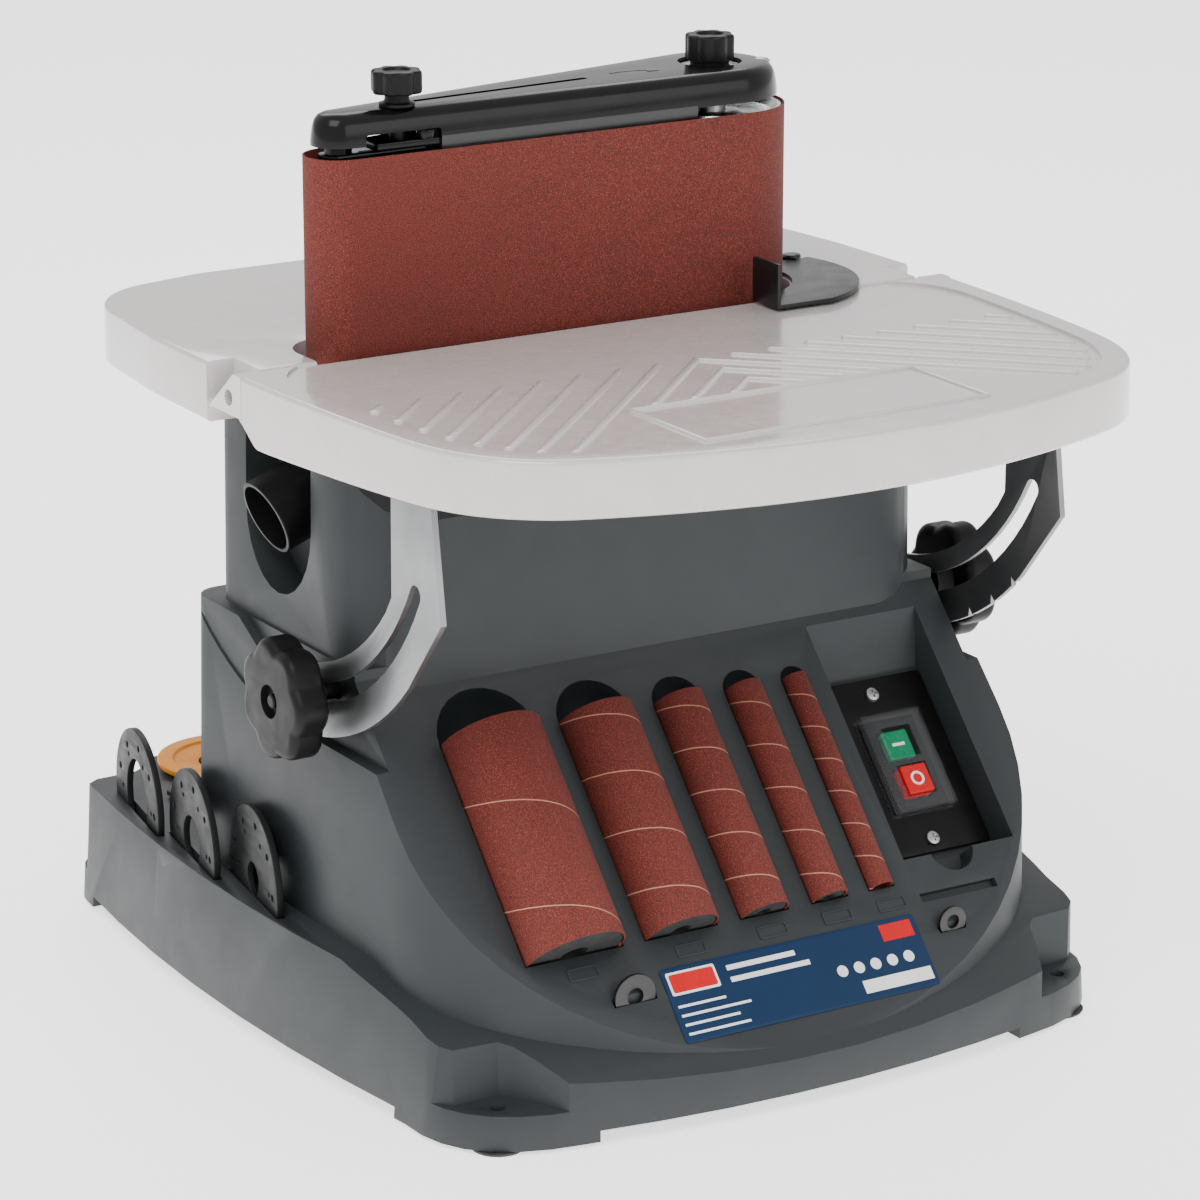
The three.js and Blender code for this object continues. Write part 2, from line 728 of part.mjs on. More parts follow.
// A steel arm with its clamp slot and the detent notches of the set angles.
function trunnion(detents) {
  const notchDepth = 4;
  const edge = [];
  const last = REST_ANGLE + 48;
  const lower = [];
  for (let degrees = 4; degrees <= 46; degrees += 3) lower.push(polar(TRUNNION.outer, degrees));
  edge.push([-100, TABLE_TOP - 10], [-99, TABLE_TOP - 86]);
  for (let degrees = 50; degrees >= 4; degrees -= 4) edge.push(polar(TRUNNION.inner, degrees));
  edge.push(...lower);
  edge.push([-144, TABLE_TOP - 88], [-137, TABLE_TOP - 41], [-134, TABLE_TOP - 10]);
  const slot = [];
  const half = TRUNNION.slotWidth / 2;
  const first = REST_ANGLE - 2.2;
  for (let k = 0; k <= 12; k++) slot.push(polar(TRUNNION.slot - half, first + ((last - first) * k) / 12));
  for (let k = 12; k >= 0; k--) slot.push(polar(TRUNNION.slot + half, first + ((last - first) * k) / 12));
  const arm = sideSlab(edge, TRUNNION.x, TRUNNION.x + TRUNNION.thickness, [slot]);
  const notches = detents.map((tilt) => {
    const at = REST_ANGLE + tilt;
    return sideSlab(
      [polar(TRUNNION.outer - notchDepth, at), polar(TRUNNION.outer + 3, at - 1.6), polar(TRUNNION.outer + 3, at + 0.4)],
      TRUNNION.x - 1,
      TRUNNION.x + TRUNNION.thickness + 1,
    );
  });
  const ends = [first, last].map((degrees) => {
    const [y, z] = polar(TRUNNION.slot, degrees);
    return rod(half, [TRUNNION.x - 1, y, z], [TRUNNION.x + TRUNNION.thickness + 1, y, z], 20);
  });
  return cut(arm, ...notches, ...ends);
}

// A lobed hand knob on its clamp bolt, for the left side.
function tiltKnob() {
  const lobes = 7;
  const { radius, inner, outer } = TILT_KNOB;
  const rim = Array.from({ length: 56 }, (_, k) => {
    const angle = (2 * Math.PI * k) / 56;
    const r = radius - 2.6 + 2.6 * Math.cos(lobes * angle);
    return [CLAMP.y + r * Math.cos(angle), CLAMP.z + r * Math.sin(angle)];
  });
  const grip = sideSlab(rim, -outer, -inner - 7);
  const at = (x) => [-x, CLAMP.y, CLAMP.z];
  return cut(
    join(grip, rod(11, at(inner), at(inner + 10), 24), rod(4, at(148), at(inner + 2), 16)),
    rod(8, at(outer - 6), at(outer + 1), 20),
  );
}

function tableParts() {
  add("rear_table", rearTable(), "table");
  add("tilting_table", tiltingTable(), "table");
  add("trunnion_right", trunnion(DETENTS), "steel");
  add("trunnion_left", mirrored(trunnion([])), "steel");
  const knob = tiltKnob();
  add("tilt_knob_left", knob, "blackPlastic");
  add("tilt_knob_right", mirrored(knob), "blackPlastic");
  const pin = rod(HINGE.pin, [-194, HINGE.y, HINGE.z], [-171.5, HINGE.y, HINGE.z], 24);
  add("hinge_pin_left", pin, "steel");
  add("hinge_pin_right", mirrored(pin), "steel");
}

// The folded steel stop that keeps the work from travelling with the belt.
function workStop() {
  const z = TABLE_TOP + GAP;
  const sheet = 2;
  const plate = slab(
    [[STOP.x, -24.3], ...arc(97, 37, 64.5, -72, 42, 20), [112, 80.2]],
    z,
    z + sheet,
  );
  const tab = sideSlab([[-24, z], [2, z], [2, z + 22], [-24, z + 22]], STOP.x, STOP.x + sheet);
  const roundDrum = rod(42, [SPINDLE.x, SPINDLE.y, z - 2], [SPINDLE.x, SPINDLE.y, z + 30], 40);
  const slot = block(STOP.screwX - 8, STOP.screwX + 8, STOP.screwY - 3, STOP.screwY + 3, z - 1, z + 5);
  return cut(join(plate, tab), roundDrum, slot);
}

function stopParts() {
  add("work_stop", workStop(), "blackSteel");
  const z = TABLE_TOP + 2 * GAP + 2;
  const { screwX: x, screwY: y } = STOP;
  const screw = join(
    turned([[0, z], [5, z], [4.4, z + 1.6], [0, z + 2.2]], x, y, 24),
    rod(2.6, [x, y, z - 9], [x, y, z + 1], 16),
  );
  add("work_stop_screw", screw, "blackSteel");
}

// ---------------------------------------------------------------- belt unit
// The closed loop round the idler and the drum, at a distance outside their faces.
function loopOutline(offset) {
  const small = IDLER.radius + offset;
  const large = DRUM_RADIUS + offset;
  const dx = SPINDLE.x - IDLER.x;
  const dy = SPINDLE.y - IDLER.y;
  const lean = THREE.MathUtils.radToDeg(Math.atan2(dy, dx));
  const spread = THREE.MathUtils.radToDeg(Math.acos((small - large) / Math.hypot(dx, dy)));
  return [
    ...arc(IDLER.x, IDLER.y, small, lean + spread, lean + 360 - spread, 12),
    ...arc(SPINDLE.x, SPINDLE.y, large, lean - spread, lean + spread, 24),
  ];
}

function sandingBelt() {
  const inner = 0.3;
  return slab(loopOutline(inner + BELT.thickness), BELT.low, BELT.low + BELT.width, [loopOutline(inner)]);
}

// The frame under the guard: a top and a bottom plate joined by a web, with the platen in front
// and the rod that keeps the unit from turning with the spindle.
function beltFrame() {
  const top = TABLE_TOP + 93.5;
  const bottom = TABLE_TOP + 2;
  const upper = slab([[-117, 8.5], [20, 7], [84, 26], [84, 54], [20, 52], [-117, 27]], top, top + 3.5);
  const collar = rod(15, [SPINDLE.x, SPINDLE.y, top], [SPINDLE.x, SPINDLE.y, top + 6], 28);
  const lower = slab([[-104, 8], [34, 6], [34, 52], [-104, 31]], bottom, bottom + 4);
  const web = slab([[-100, 27], [30, 44], [30, 48], [-100, 31]], bottom, top + 3);
  const guide = rod(5, [GUIDE.x, GUIDE.y, 200], [GUIDE.x, GUIDE.y, bottom + 1], 20);
  return cut(
    join(upper, collar, lower, web, guide, platenFace()),
    rod(SPINDLE.bore, [SPINDLE.x, SPINDLE.y, top - 5], [SPINDLE.x, SPINDLE.y, top + 10], 28),
    rod(4.4, [TRACKING.x, TRACKING.y, top - 5], [TRACKING.x, TRACKING.y, top + 10], 16),
  );
}

// The flat steel platen just behind the belt's straight front run.
function platenFace() {
  return slab([[-108, 4.9], [44, 5.7], [44, 9.7], [-108, 8.9]], TABLE_TOP + 2, TABLE_TOP + 92);
}

function beltGuard() {
  const low = TABLE_TOP + 97;
  const high = TABLE_TOP + 112.4;
  const skin = 1.6;
  const shell = cut(
    join(slab(loopOutline(-2.6), low, high - 5), slab(loopOutline(-6), high - 6, high)),
    slab(loopOutline(-2.6 - skin), low - 1, high - 6.4),
    slab(loopOutline(-6 - skin), high - 8, high - skin),
  );
  return cut(
    shell,
    rod(15.8, [SPINDLE.x, SPINDLE.y, high - 4], [SPINDLE.x, SPINDLE.y, high + 4], 32),
    slab(outline([[-98, 20.5, 1.4], [10, 29.5, 1.4], [10, 33.5, 1.4], [-98, 24.5, 1.4]], 2), high - 4, high + 4),
    rod(5.6, [TRACKING.x, TRACKING.y, high - 4], [TRACKING.x, TRACKING.y, high + 4], 20),
    block(-124, -84, -10, 12, low - 1, low + 5),
  );
}

// A small lobed knob whose grip starts at z, with its neck below it.
function smallKnob(x, y, z, height, neckLow, neckRadius) {
  const rim = Array.from({ length: 56 }, (_, k) => {
    const angle = (2 * Math.PI * k) / 56;
    const r = 11.5 + 0.9 * Math.cos(8 * angle);
    return [x + r * Math.cos(angle), y + r * Math.sin(angle)];
  });
  return join(slab(rim, z, z + height), rod(neckRadius, [x, y, neckLow], [x, y, z + 1], 24));
}

function trackingKnob() {
  const { x, y } = TRACKING;
  const flange = TABLE_TOP + 112.7;
  return join(
    smallKnob(x, y, TABLE_TOP + 118.5, 11, flange, 5.8),
    rod(8.5, [x, y, flange], [x, y, flange + 1.8], 24),
    rod(3.9, [x, y, TABLE_TOP + 93], [x, y, flange + 1], 16),
  );
}

function spindleKnob() {
  const { x, y } = SPINDLE;
  return cut(
    smallKnob(x, y, TABLE_TOP + 113, 13, TABLE_TOP + 103, 8),
    rod(5.8, [x, y, TABLE_TOP + 100], [x, y, TABLE_TOP + 112.6], 20),
  );
}

function beltUnit() {
  const top = TABLE_TOP;
  add("belt_frame", beltFrame(), "blackSteel");
  add("belt_guard", beltGuard(), "blackSteel");
  add("sanding_belt", sandingBelt(), "abrasive");
  const drum = turned(
    [
      [SPINDLE.radius + 0.3, top - 9],
      [30, top - 9],
      [DRUM_RADIUS, top - 9],
      [DRUM_RADIUS, top + 91.5],
      [DRUM_RADIUS - 3, top + 91.5],
      [DRUM_RADIUS - 5, top + 88],
      [16, top + 88],
      [SPINDLE.radius + 0.3, top + 88],
      [SPINDLE.radius + 0.3, top - 9],
    ],
    SPINDLE.x,
    SPINDLE.y,
    48,
  );
  add("drive_drum", toGeometry(toSolid(drum)), "aluminium");
  const shaft = turned(
    [
      [0, 56],
      [8, 56],
      [8, 170],
      [12, 170],
      [12, 175.4],
      [8, 175.4],
      [8, 186.6],
      [12, 186.6],
      [12, 192],
      [8, 192],
      [8, top + 101],
      [5.2, top + 102],
      [5.2, top + 112],
      [0, top + 112],
    ],
    SPINDLE.x,
    SPINDLE.y,
    24,
  );
  add("spindle_shaft", toGeometry(toSolid(shaft)), "steel");
  add("spindle_knob", spindleKnob(), "blackPlastic");
  const idler = ring(4.4, IDLER.radius, top - 9, top + 87, IDLER.x, IDLER.y, 32);
  add("idler_drum", toGeometry(toSolid(idler)), "aluminium");
  const arm = join(
    slab(outline([[-141, 11.5, 6], [-44, 15.5, 2], [-44, 20.5, 2], [-141, 27.5, 6]], 3), top + 88.4, top + 92.6),
    rod(4, [IDLER.x, IDLER.y, top - 8], [IDLER.x, IDLER.y, top + 90], 20),
    rod(6.5, [IDLER.x, IDLER.y, top + 92], [IDLER.x, IDLER.y, top + 97], 6),
  );
  add("idler_arm", arm, "blackSteel");
  add("tracking_knob", trackingKnob(), "blackPlastic");
  const lever = join(
    rod(5, [-66, 17.5, top + 97.4], [-66, 17.5, top + 102], 20),
    slab([[-66, 13.6], [-66, 19.4], [-90, 12.4], [-90, 6.6]], top + 97.8, top + 101.4),
    rod(4.4, [-91, 9.5, top + 97.6], [-91, 9.5, top + 101.6], 20),
  );
  add("tension_lever", lever, "blackSteel");
}

// ---------------------------------------------------------------- drive inside the housing
function bearingHousing() {
  const { x, y } = SPINDLE;
  const back = block(x - 26, x + 26, 74, 80, 60, 168);
  const window = block(x - 16, x + 4, 73, 81, 80, 102);
  const ringAt = (z0, z1) => join(rod(17, [x, y, z0], [x, y, z1], 28), block(x - 14, x + 14, y, 76, z0, z1));
  const bracket = join(
    sideSlab([[76, 114], [76, 134], [WHEEL.y - 8, 132], [WHEEL.y - 8, 116]], 60, 67),
    block(60, 70, 74, 80, 112, 136),
  );
  return cut(
    join(back, ringAt(64, 76), ringAt(146, 158), bracket),
    window,
    rod(SPINDLE.bore, [x, y, 50], [x, y, 175], 28),
    rod(5.4, [50, WHEEL.y, WHEEL.z], [80, WHEEL.y, WHEEL.z], 20),
  );
}

function driveParts() {
  const { x, y } = SPINDLE;
  add("bearing_housing", bearingHousing(), "aluminium");
  const stator = turned(
    [
      [32, MOTOR.foot],
      [MOTOR.radius, MOTOR.foot],
      [MOTOR.radius, MOTOR.top - 6],
      [MOTOR.radius - 8, MOTOR.top],
      [8, MOTOR.top],
      [8, MOTOR.top - 8],
      [32, MOTOR.top - 8],
      [32, MOTOR.foot],
    ],
    MOTOR.x,
    MOTOR.y,
    32,
  );
  add("motor_stator", toGeometry(toSolid(stator)), "blackSteel");
  const rotor = turned(
    [
      [0, 78],
      [6, 78],
      [6, PULLEY.low - 2],
      [PULLEY.motor + 2.6, PULLEY.low - 2],
      [PULLEY.motor + 2.6, PULLEY.low - 0.4],
      [PULLEY.motor, PULLEY.low - 0.4],
      [PULLEY.motor, PULLEY.high + 0.4],
      [6, PULLEY.high + 0.4],
      [6, 112],
      [31, 112],
      [31, 170],
      [6, 170],
      [6, 182],
      [0, 182],
    ],
    MOTOR.x,
    MOTOR.y,
    32,
  );
  add("motor_rotor", toGeometry(toSolid(rotor)), "steel");
  const pulley = turned(
    [
      [8.4, PULLEY.low - 4],
      [PULLEY.spindle + 2.6, PULLEY.low - 4],
      [PULLEY.spindle + 2.6, PULLEY.low - 0.4],
      [PULLEY.spindle, PULLEY.low - 0.4],
      [PULLEY.spindle, PULLEY.high + 0.4],
      [PULLEY.spindle, PULLEY.high + 2],
      [10.5, PULLEY.high + 2],
      [10.5, WORM.low],
      [WORM.radius, WORM.low],
      [WORM.radius, WORM.high],
      [8.4, WORM.high],
      [8.4, PULLEY.low - 4],
    ],
    x,
    y,
    32,
  );
  add("spindle_pulley", toGeometry(toSolid(pulley)), "steel");
  add("drive_belt", driveBelt(), "rubber");
  const tooth = 360 / WHEEL.teeth;
  const rim = Array.from({ length: WHEEL.teeth }, (_, k) =>
    [0, 0.3, 0.5, 0.8].map((share, i) => {
      const angle = THREE.MathUtils.degToRad(tooth * (k + share));
      const r = i === 0 || i === 1 ? WHEEL.tip : WHEEL.root;
      return [WHEEL.y + r * Math.cos(angle), WHEEL.z + r * Math.sin(angle)];
    }),
  ).flat();
  const wheel = join(
    sideSlab(rim, WHEEL.x, WHEEL.x + WHEEL.width),
    rod(5, [58, WHEEL.y, WHEEL.z], [WHEEL.x + 1, WHEEL.y, WHEEL.z], 20),
    rod(3, [WHEEL.x + 8, WHEEL.y - WHEEL.throw, WHEEL.z], [WHEEL.x + 15, WHEEL.y - WHEEL.throw, WHEEL.z], 16),
  );
  add("worm_wheel", wheel, "aluminium");
  add("lift_yoke", liftYoke(), "steel");
  add("cord_gland", cordGland(), "blackPlastic");
}

// The toothed belt's loop, from the motor pulley to the spindle pulley.
function driveBelt() {
  const { x, y } = SPINDLE;
  const loop = (offset) => {
    const small = PULLEY.motor + offset;
    const large = PULLEY.spindle + offset;
    const lean = THREE.MathUtils.radToDeg(Math.atan2(y - MOTOR.y, x - MOTOR.x));
    const spread = THREE.MathUtils.radToDeg(Math.acos((small - large) / Math.hypot(x - MOTOR.x, y - MOTOR.y)));
    return [
      ...arc(MOTOR.x, MOTOR.y, small, lean + spread, lean + 360 - spread, 12),
      ...arc(x, y, large, lean - spread, lean + spread, 12),
    ];
  };
  return slab(loop(0.5 + PULLEY.belt), PULLEY.low, PULLEY.high, [loop(0.5)]);
}

// Carries the spindle up and down: a slotted plate beside the eccentric pin, and a ring between
// the spindle's collars.
function liftYoke() {
  const { x, y } = SPINDLE;
  const left = WHEEL.x + WHEEL.width + 6;
  const plate = sideSlab([[-14, 108], [16, 108], [16, 186], [-14, 186]], left, left + 4, [
    [[-11, 119.6], [14, 119.6], [14, 128.4], [-11, 128.4]],
  ]);
  const arm = block(x - 6, left + 4, -4, y, 176, 186);
  const collar = rod(15, [x, y, 176], [x, y, 186], 28);
  return cut(join(plate, arm, collar), rod(SPINDLE.bore, [x, y, 170], [x, y, 190], 28));
}

function cordGland() {
  const y = HUMP.back;
  const at = (along) => [-36, along, 96];
  return cut(
    join(rod(8, at(y - 16), at(y + 1), 20), rod(11, at(y + 0.4), at(y + 8), 6), rod(8.5, at(y + 7), at(y + 20), 20, 6)),
    rod(3.8, at(y - 20), at(y + 24), 16),
  );
}

// ---------------------------------------------------------------- dust port
function dustPort() {
  const tube = dustTubeCore(DUST.radius, 0, 134);
  const bore = dustTubeCore(DUST.radius - 2, 10, 120);
  return cut(tube, bore);
}

// ---------------------------------------------------------------- stored tools and switch
function panelParts() {
  SLEEVES.forEach(({ name, radius, x }, i) => {
    const head = SLEEVE_FOOT + SLEEVE_LENGTH;
    const wall = 1;
    const sleeve = cut(
      rod(radius, [x, SLEEVE_FOOT, 0], [x, head, 0], 40),
      rod(radius - wall, [x, SLEEVE_FOOT - 5, 0], [x, head + 5, 0], 40),
    );
    add("sleeve_" + name, onPanel(sleeve), "abrasive");
    if (i === SLEEVES.length - 1) return;
    const core = cut(
      rod(radius - wall - 0.35, [x, SLEEVE_FOOT + 0.6, 0], [x, head - 0.6, 0], 32),
      rod(Math.max(3.2, radius * 0.27), [x, SLEEVE_FOOT - 5, 0], [x, head + 5, 0], 20),
    );
    add("rubber_drum_" + name, onPanel(core), "rubber");
  });
  WASHERS.forEach((washer) => {
    const { name, radius, bore } = washer;
    add(name, cut(washerDisc(washer, radius, 1, 28), washerDisc(washer, bore, 3, 20)), "steel");
  });
  switchParts();
}

function switchParts() {
  const floor = -RECESS.depth;
  const plateTop = floor + GAP + SWITCH.plate;
  const { x, v, width, length } = SWITCH;
  const plate = cut(
    slab(
      outline([
        [RECESS.left + 0.6, 95.5, 5],
        [RECESS.right - 0.6, 95.5, 2],
        [RECESS.right - 0.6, 190.5, 2],
        [RECESS.left + 0.6, 190.5, 2],
      ], 3),
      floor + GAP,
      plateTop,
    ),
    block(x - width / 2 - GAP, x + width / 2 + GAP, v - length / 2 - GAP, v + length / 2 + GAP, -40, 0),
  );
  add("switch_plate", onPanel(plate), "blackPlastic");
  const lip = block(x - 16, x + 16, v - 25, v + 25, plateTop + GAP, plateTop + 2);
  const wells = [SWITCH.startV, SWITCH.stopV].map((at) => block(x - 8, x + 8, at - 8, at + 8, plateTop - 12, 5));
  const body = cut(
    join(lip, block(x - width / 2, x + width / 2, v - length / 2, v + length / 2, -52, plateTop + 1)),
    ...wells,
  );
  add("switch_body", onPanel(body), "blackPlastic");
  const button = (at, top) => block(x - 7.6, x + 7.6, at - 7.6, at + 7.6, plateTop - 7, top);
  add("start_button", onPanel(button(SWITCH.startV, plateTop + 4.4)), "green");
  add("stop_button", onPanel(button(SWITCH.stopV, plateTop + 8.2)), "red");
  const coverTop = plateTop + 8;
  const cover = cut(
    block(x - 17.4, x + 17.4, v - 26.4, v + 26.4, plateTop + GAP, coverTop),
    block(x - 16.3, x + 16.3, v - 25.3, v + 25.3, plateTop - 1, coverTop - 1.1),
    ...[SWITCH.startV, SWITCH.stopV].map((at) => block(x - 8.4, x + 8.4, at - 8.4, at + 8.4, -40, coverTop + 2)),
  );
  add("switch_cover", onPanel(cover), "clear");
}

function storedParts() {
  const centreZ = BASE.platform + INSERT.proud;
  INSERTS.forEach(({ name, x, y, turn, hole }) => {
    const half = INSERT.thickness / 2;
    const disc = rod(INSERT.radius, [-half, 0, 0], [half, 0, 0], 48);
    const opening = rod(1, [-half - 1, 0, 0], [half + 1, 0, 0], 32).scale(1, hole[0], hole[1]);
    const piece = cut(disc, opening)
      .rotateZ(THREE.MathUtils.degToRad(-turn))
      .translate(x, y, centreZ);
    add(name, piece, "blackPlastic");
  });
  const z = BASE.platform + GAP;
  const insert = turned(
    [
      [RING.hole, z],
      [RING.radius - 3, z],
      [RING.radius - 3, z + 2],
      [RING.radius, z + 2],
      [RING.radius, z + 5],
      [RING.radius - 8, z + 5],
      [RING.radius - 9, z + 3.4],
      [RING.hole + 6, z + 3.4],
      [RING.hole, z + 2.6],
      [RING.hole, z],
    ],
    RING.x,
    RING.y,
    40,
  );
  add("table_ring", toGeometry(toSolid(insert)), "amber");
  const key = join(
    rod(2.5, [-152, 176, z + 2.6], [-150, 116, z + 2.6], 6),
    rod(2.5, [-152, 176, z + 2.6], [-132, 177, z + 2.6], 6),
  );
  add("hex_key", key, "blackSteel");
}

baseParts();
tableParts();
stopParts();
beltUnit();
driveParts();
add("dust_port", dustPort(), "blackPlastic");
panelParts();
storedParts();

export default sander;
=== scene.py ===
import json
import math

import bmesh
import bpy
from mathutils import Matrix, Vector


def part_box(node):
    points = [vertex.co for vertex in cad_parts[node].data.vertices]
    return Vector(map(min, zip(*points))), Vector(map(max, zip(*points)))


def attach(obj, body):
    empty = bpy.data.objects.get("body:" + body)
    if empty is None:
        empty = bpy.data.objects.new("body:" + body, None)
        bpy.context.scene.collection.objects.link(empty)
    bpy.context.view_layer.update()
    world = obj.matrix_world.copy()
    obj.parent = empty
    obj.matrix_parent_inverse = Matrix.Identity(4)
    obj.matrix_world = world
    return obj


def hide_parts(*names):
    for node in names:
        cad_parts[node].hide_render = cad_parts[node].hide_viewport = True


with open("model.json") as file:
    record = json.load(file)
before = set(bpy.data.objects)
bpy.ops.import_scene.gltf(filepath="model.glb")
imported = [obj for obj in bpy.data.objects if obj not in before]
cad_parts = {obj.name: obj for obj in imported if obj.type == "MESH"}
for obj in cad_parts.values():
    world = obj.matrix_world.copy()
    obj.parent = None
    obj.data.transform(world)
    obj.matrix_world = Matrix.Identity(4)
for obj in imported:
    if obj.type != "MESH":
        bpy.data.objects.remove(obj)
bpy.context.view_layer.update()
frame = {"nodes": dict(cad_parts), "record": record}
MM = 0.001
SCENE = bpy.context.scene
# Distances within which corners are joined, in metres.
WELD = 1e-7
CAD_WELD = 1e-6
CURVE_WELD = 2e-6
FLAT = math.radians(0.6)  # triangles closer to level than this belong to one face


# ---------------------------------------------------------------- outlines
def arc(cx, cy, radius, start, end, steps):
    """Points of a circular arc, with angles in degrees."""
    turns = [math.radians(start + (end - start) * k / steps) for k in range(steps + 1)]
    return [(cx + radius * math.cos(t), cy + radius * math.sin(t)) for t in turns]


def circle(cx, cy, radius, steps):
    return arc(cx, cy, radius, 0, 360, steps)[:-1]


def polar(centre, radius, degrees):
    """The point at a distance and an angle from a centre."""
    turn = math.radians(degrees)
    return (centre[0] + radius * math.cos(turn), centre[1] + radius * math.sin(turn))


def rectangle(x, y):
    """A rectangle between two x and two y values."""
    return [(x[0], y[0]), (x[1], y[0]), (x[1], y[1]), (x[0], y[1])]


def swing(a, control, b, steps=12):
    """A quadratic curve from a to b, without its first point."""
    points = []
    for k in range(1, steps + 1):
        t = k / steps
        points.append(
            tuple((1 - t) ** 2 * p + 2 * t * (1 - t) * c + t * t * q for p, c, q in zip(a, control, b))
        )
    return points


def rounded(corners, steps):
    """An outline from (x, y, corner radius) points, with steps round each corner."""
    points = []
    count = len(corners)
    for i, (x, y, radius) in enumerate(corners):
        here = Vector((x, y))
        if radius == 0:
            points.append((x, y))
            continue
        inward = (Vector(corners[i - 1][:2]) - here).normalized()
        outward = (Vector(corners[(i + 1) % count][:2]) - here).normalized()
        half = inward.angle(outward) / 2
        reach = radius / math.tan(half)
        centre = here + (inward + outward).normalized() * radius / math.sin(half)
        start = here + inward * reach - centre
        end = here + outward * reach - centre
        sweep = math.atan2(start.x * end.y - start.y * end.x, start.dot(end))
        for k in range(steps + 1):
            point = Matrix.Rotation(sweep * k / steps, 2) @ start + centre
            points.append((point.x, point.y))
    return points


def soft_rectangle(x, y, radius, steps):
    """A rectangle with rounded corners."""
    return rounded([(*corner, radius) for corner in rectangle(x, y)], steps)


def lobed(radius, depth, lobes, steps, sharpness):
    """A hand knob's outline, with hollows between rounded lobes."""
    points = []
    for k in range(steps):
        turn = 2 * math.pi * k / steps
        wave = (0.5 + 0.5 * math.cos(lobes * turn)) ** sharpness
        r = radius - depth * (1 - wave)
        points.append((r * math.cos(turn), r * math.sin(turn)))
    return points


# ---------------------------------------------------------------- meshes
def linked(name, mesh):
    obj = bpy.data.objects.new(name, mesh)
    SCENE.collection.objects.link(obj)
    return obj


def as_object(name, bm):
    """A new object from mesh data under construction."""
    mesh = bpy.data.meshes.new(name)
    bm.to_mesh(mesh)
    bm.free()
    return linked(name, mesh)


def baked(obj):
    """The object with its modifiers or curve settings applied, as a plain mesh object."""
    graph = bpy.context.evaluated_depsgraph_get()
    mesh = bpy.data.meshes.new_from_object(obj.evaluated_get(graph))
    mesh.materials.clear()
    made = linked(obj.name + "_baked", mesh)
    made.matrix_world = obj.matrix_world
    name = obj.name
    bpy.data.objects.remove(obj)
    made.name = name
    return made


def welded(obj):
    """The object with the corners that a curve leaves apart joined up."""
    bm = bmesh.new()
    bm.from_mesh(obj.data)
    bmesh.ops.remove_doubles(bm, verts=bm.verts, dist=CURVE_WELD)
    bmesh.ops.recalc_face_normals(bm, faces=bm.faces)
    bm.to_mesh(obj.data)
    bm.free()
    return obj


def plate(name, outlines, low, high, bevel=0.0, steps=3):
    """A flat piece with rounded edges, from outlines in millimetres; inner outlines are holes."""
    curve = bpy.data.curves.new(name, "CURVE")
    curve.dimensions = "2D"
    curve.fill_mode = "BOTH"
    curve.extrude = ((high - low) / 2 - bevel) * MM
    curve.bevel_depth = bevel * MM
    curve.bevel_resolution = steps
    curve.offset = -bevel * MM
    for outline in outlines:
        spline = curve.splines.new("POLY")
        spline.points.add(len(outline) - 1)
        for point, (x, y) in zip(spline.points, outline):
            point.co = (x * MM, y * MM, 0, 1)
        spline.use_cyclic_u = True
    obj = baked(linked(name, curve))
    obj.data.transform(Matrix.Translation((0, 0, (low + high) / 2 * MM)))
    return welded(obj)


def sideways(obj):
    """Turns a piece drawn in (y, z) with its thickness in x."""
    axes = Matrix(((0, 0, 1, 0), (1, 0, 0, 0), (0, 1, 0, 0), (0, 0, 0, 1)))
    obj.data.transform(axes)
    return obj


def turned(name, profile, steps=96, at=(0, 0)):
    """A piece turned about +Z from (radius, height) points in millimetres."""
    bm = bmesh.new()
    rows = []
    for radius, height in profile:
        spots = circle(*at, radius, steps) if radius > 0 else [at]
        rows.append([bm.verts.new((x * MM, y * MM, height * MM)) for x, y in spots])
    for low, high in zip(rows, rows[1:]):
        for k in range(steps):
            after = k + 1
            below = (low[k % len(low)], low[after % len(low)])
            above = (high[after % len(high)], high[k % len(high)])
            corners = list(dict.fromkeys(below + above))
            if len(corners) > 2:
                bm.faces.new(corners)
    bmesh.ops.remove_doubles(bm, verts=bm.verts, dist=WELD)
    bmesh.ops.recalc_face_normals(bm, faces=bm.faces)
    return as_object(name, bm)


def lofted(name, rings):
    """A closed shell through outlines of equal length, each at its own height."""
    bm = bmesh.new()
    rows = [[bm.verts.new((x * MM, y * MM, z * MM)) for x, y in points] for points, z in rings]
    count = len(rows[0])
    for low, high in zip(rows, rows[1:]):
        for k in range(count):
            after = (k + 1) % count
            bm.faces.new((low[k], low[after], high[after], high[k]))
    bm.faces.new(rows[0][::-1])
    bm.faces.new(rows[-1])
    bmesh.ops.recalc_face_normals(bm, faces=bm.faces)
    return as_object(name, bm)


def rod(name, radius, start, end, steps=32):
    """A plain cylinder between two points in millimetres, used to cut or to join."""
    a, b = Vector(start) * MM, Vector(end) * MM
    bm = bmesh.new()
    bmesh.ops.create_cone(
        bm, cap_ends=True, segments=steps, radius1=radius * MM, radius2=radius * MM, depth=(b - a).length
    )
    turn = (b - a).to_track_quat("Z", "Y").to_matrix().to_4x4()
    bmesh.ops.transform(bm, matrix=Matrix.Translation((a + b) / 2) @ turn, verts=bm.verts)
    return as_object(name, bm)


def brick(name, x, y, z, bevel=0.0):
    """A rectangular bar between two x, two y and two z values in millimetres."""
    return plate(name, [rectangle(x, y)], z[0], z[1], bevel)


def merged(name, *objects):
    """Several objects as one, each kept as its own closed shell."""
    bm = bmesh.new()
    for obj in objects:
        obj.data.transform(obj.matrix_world)
        bm.from_mesh(obj.data)
        bpy.data.objects.remove(obj)
    return as_object(name, bm)


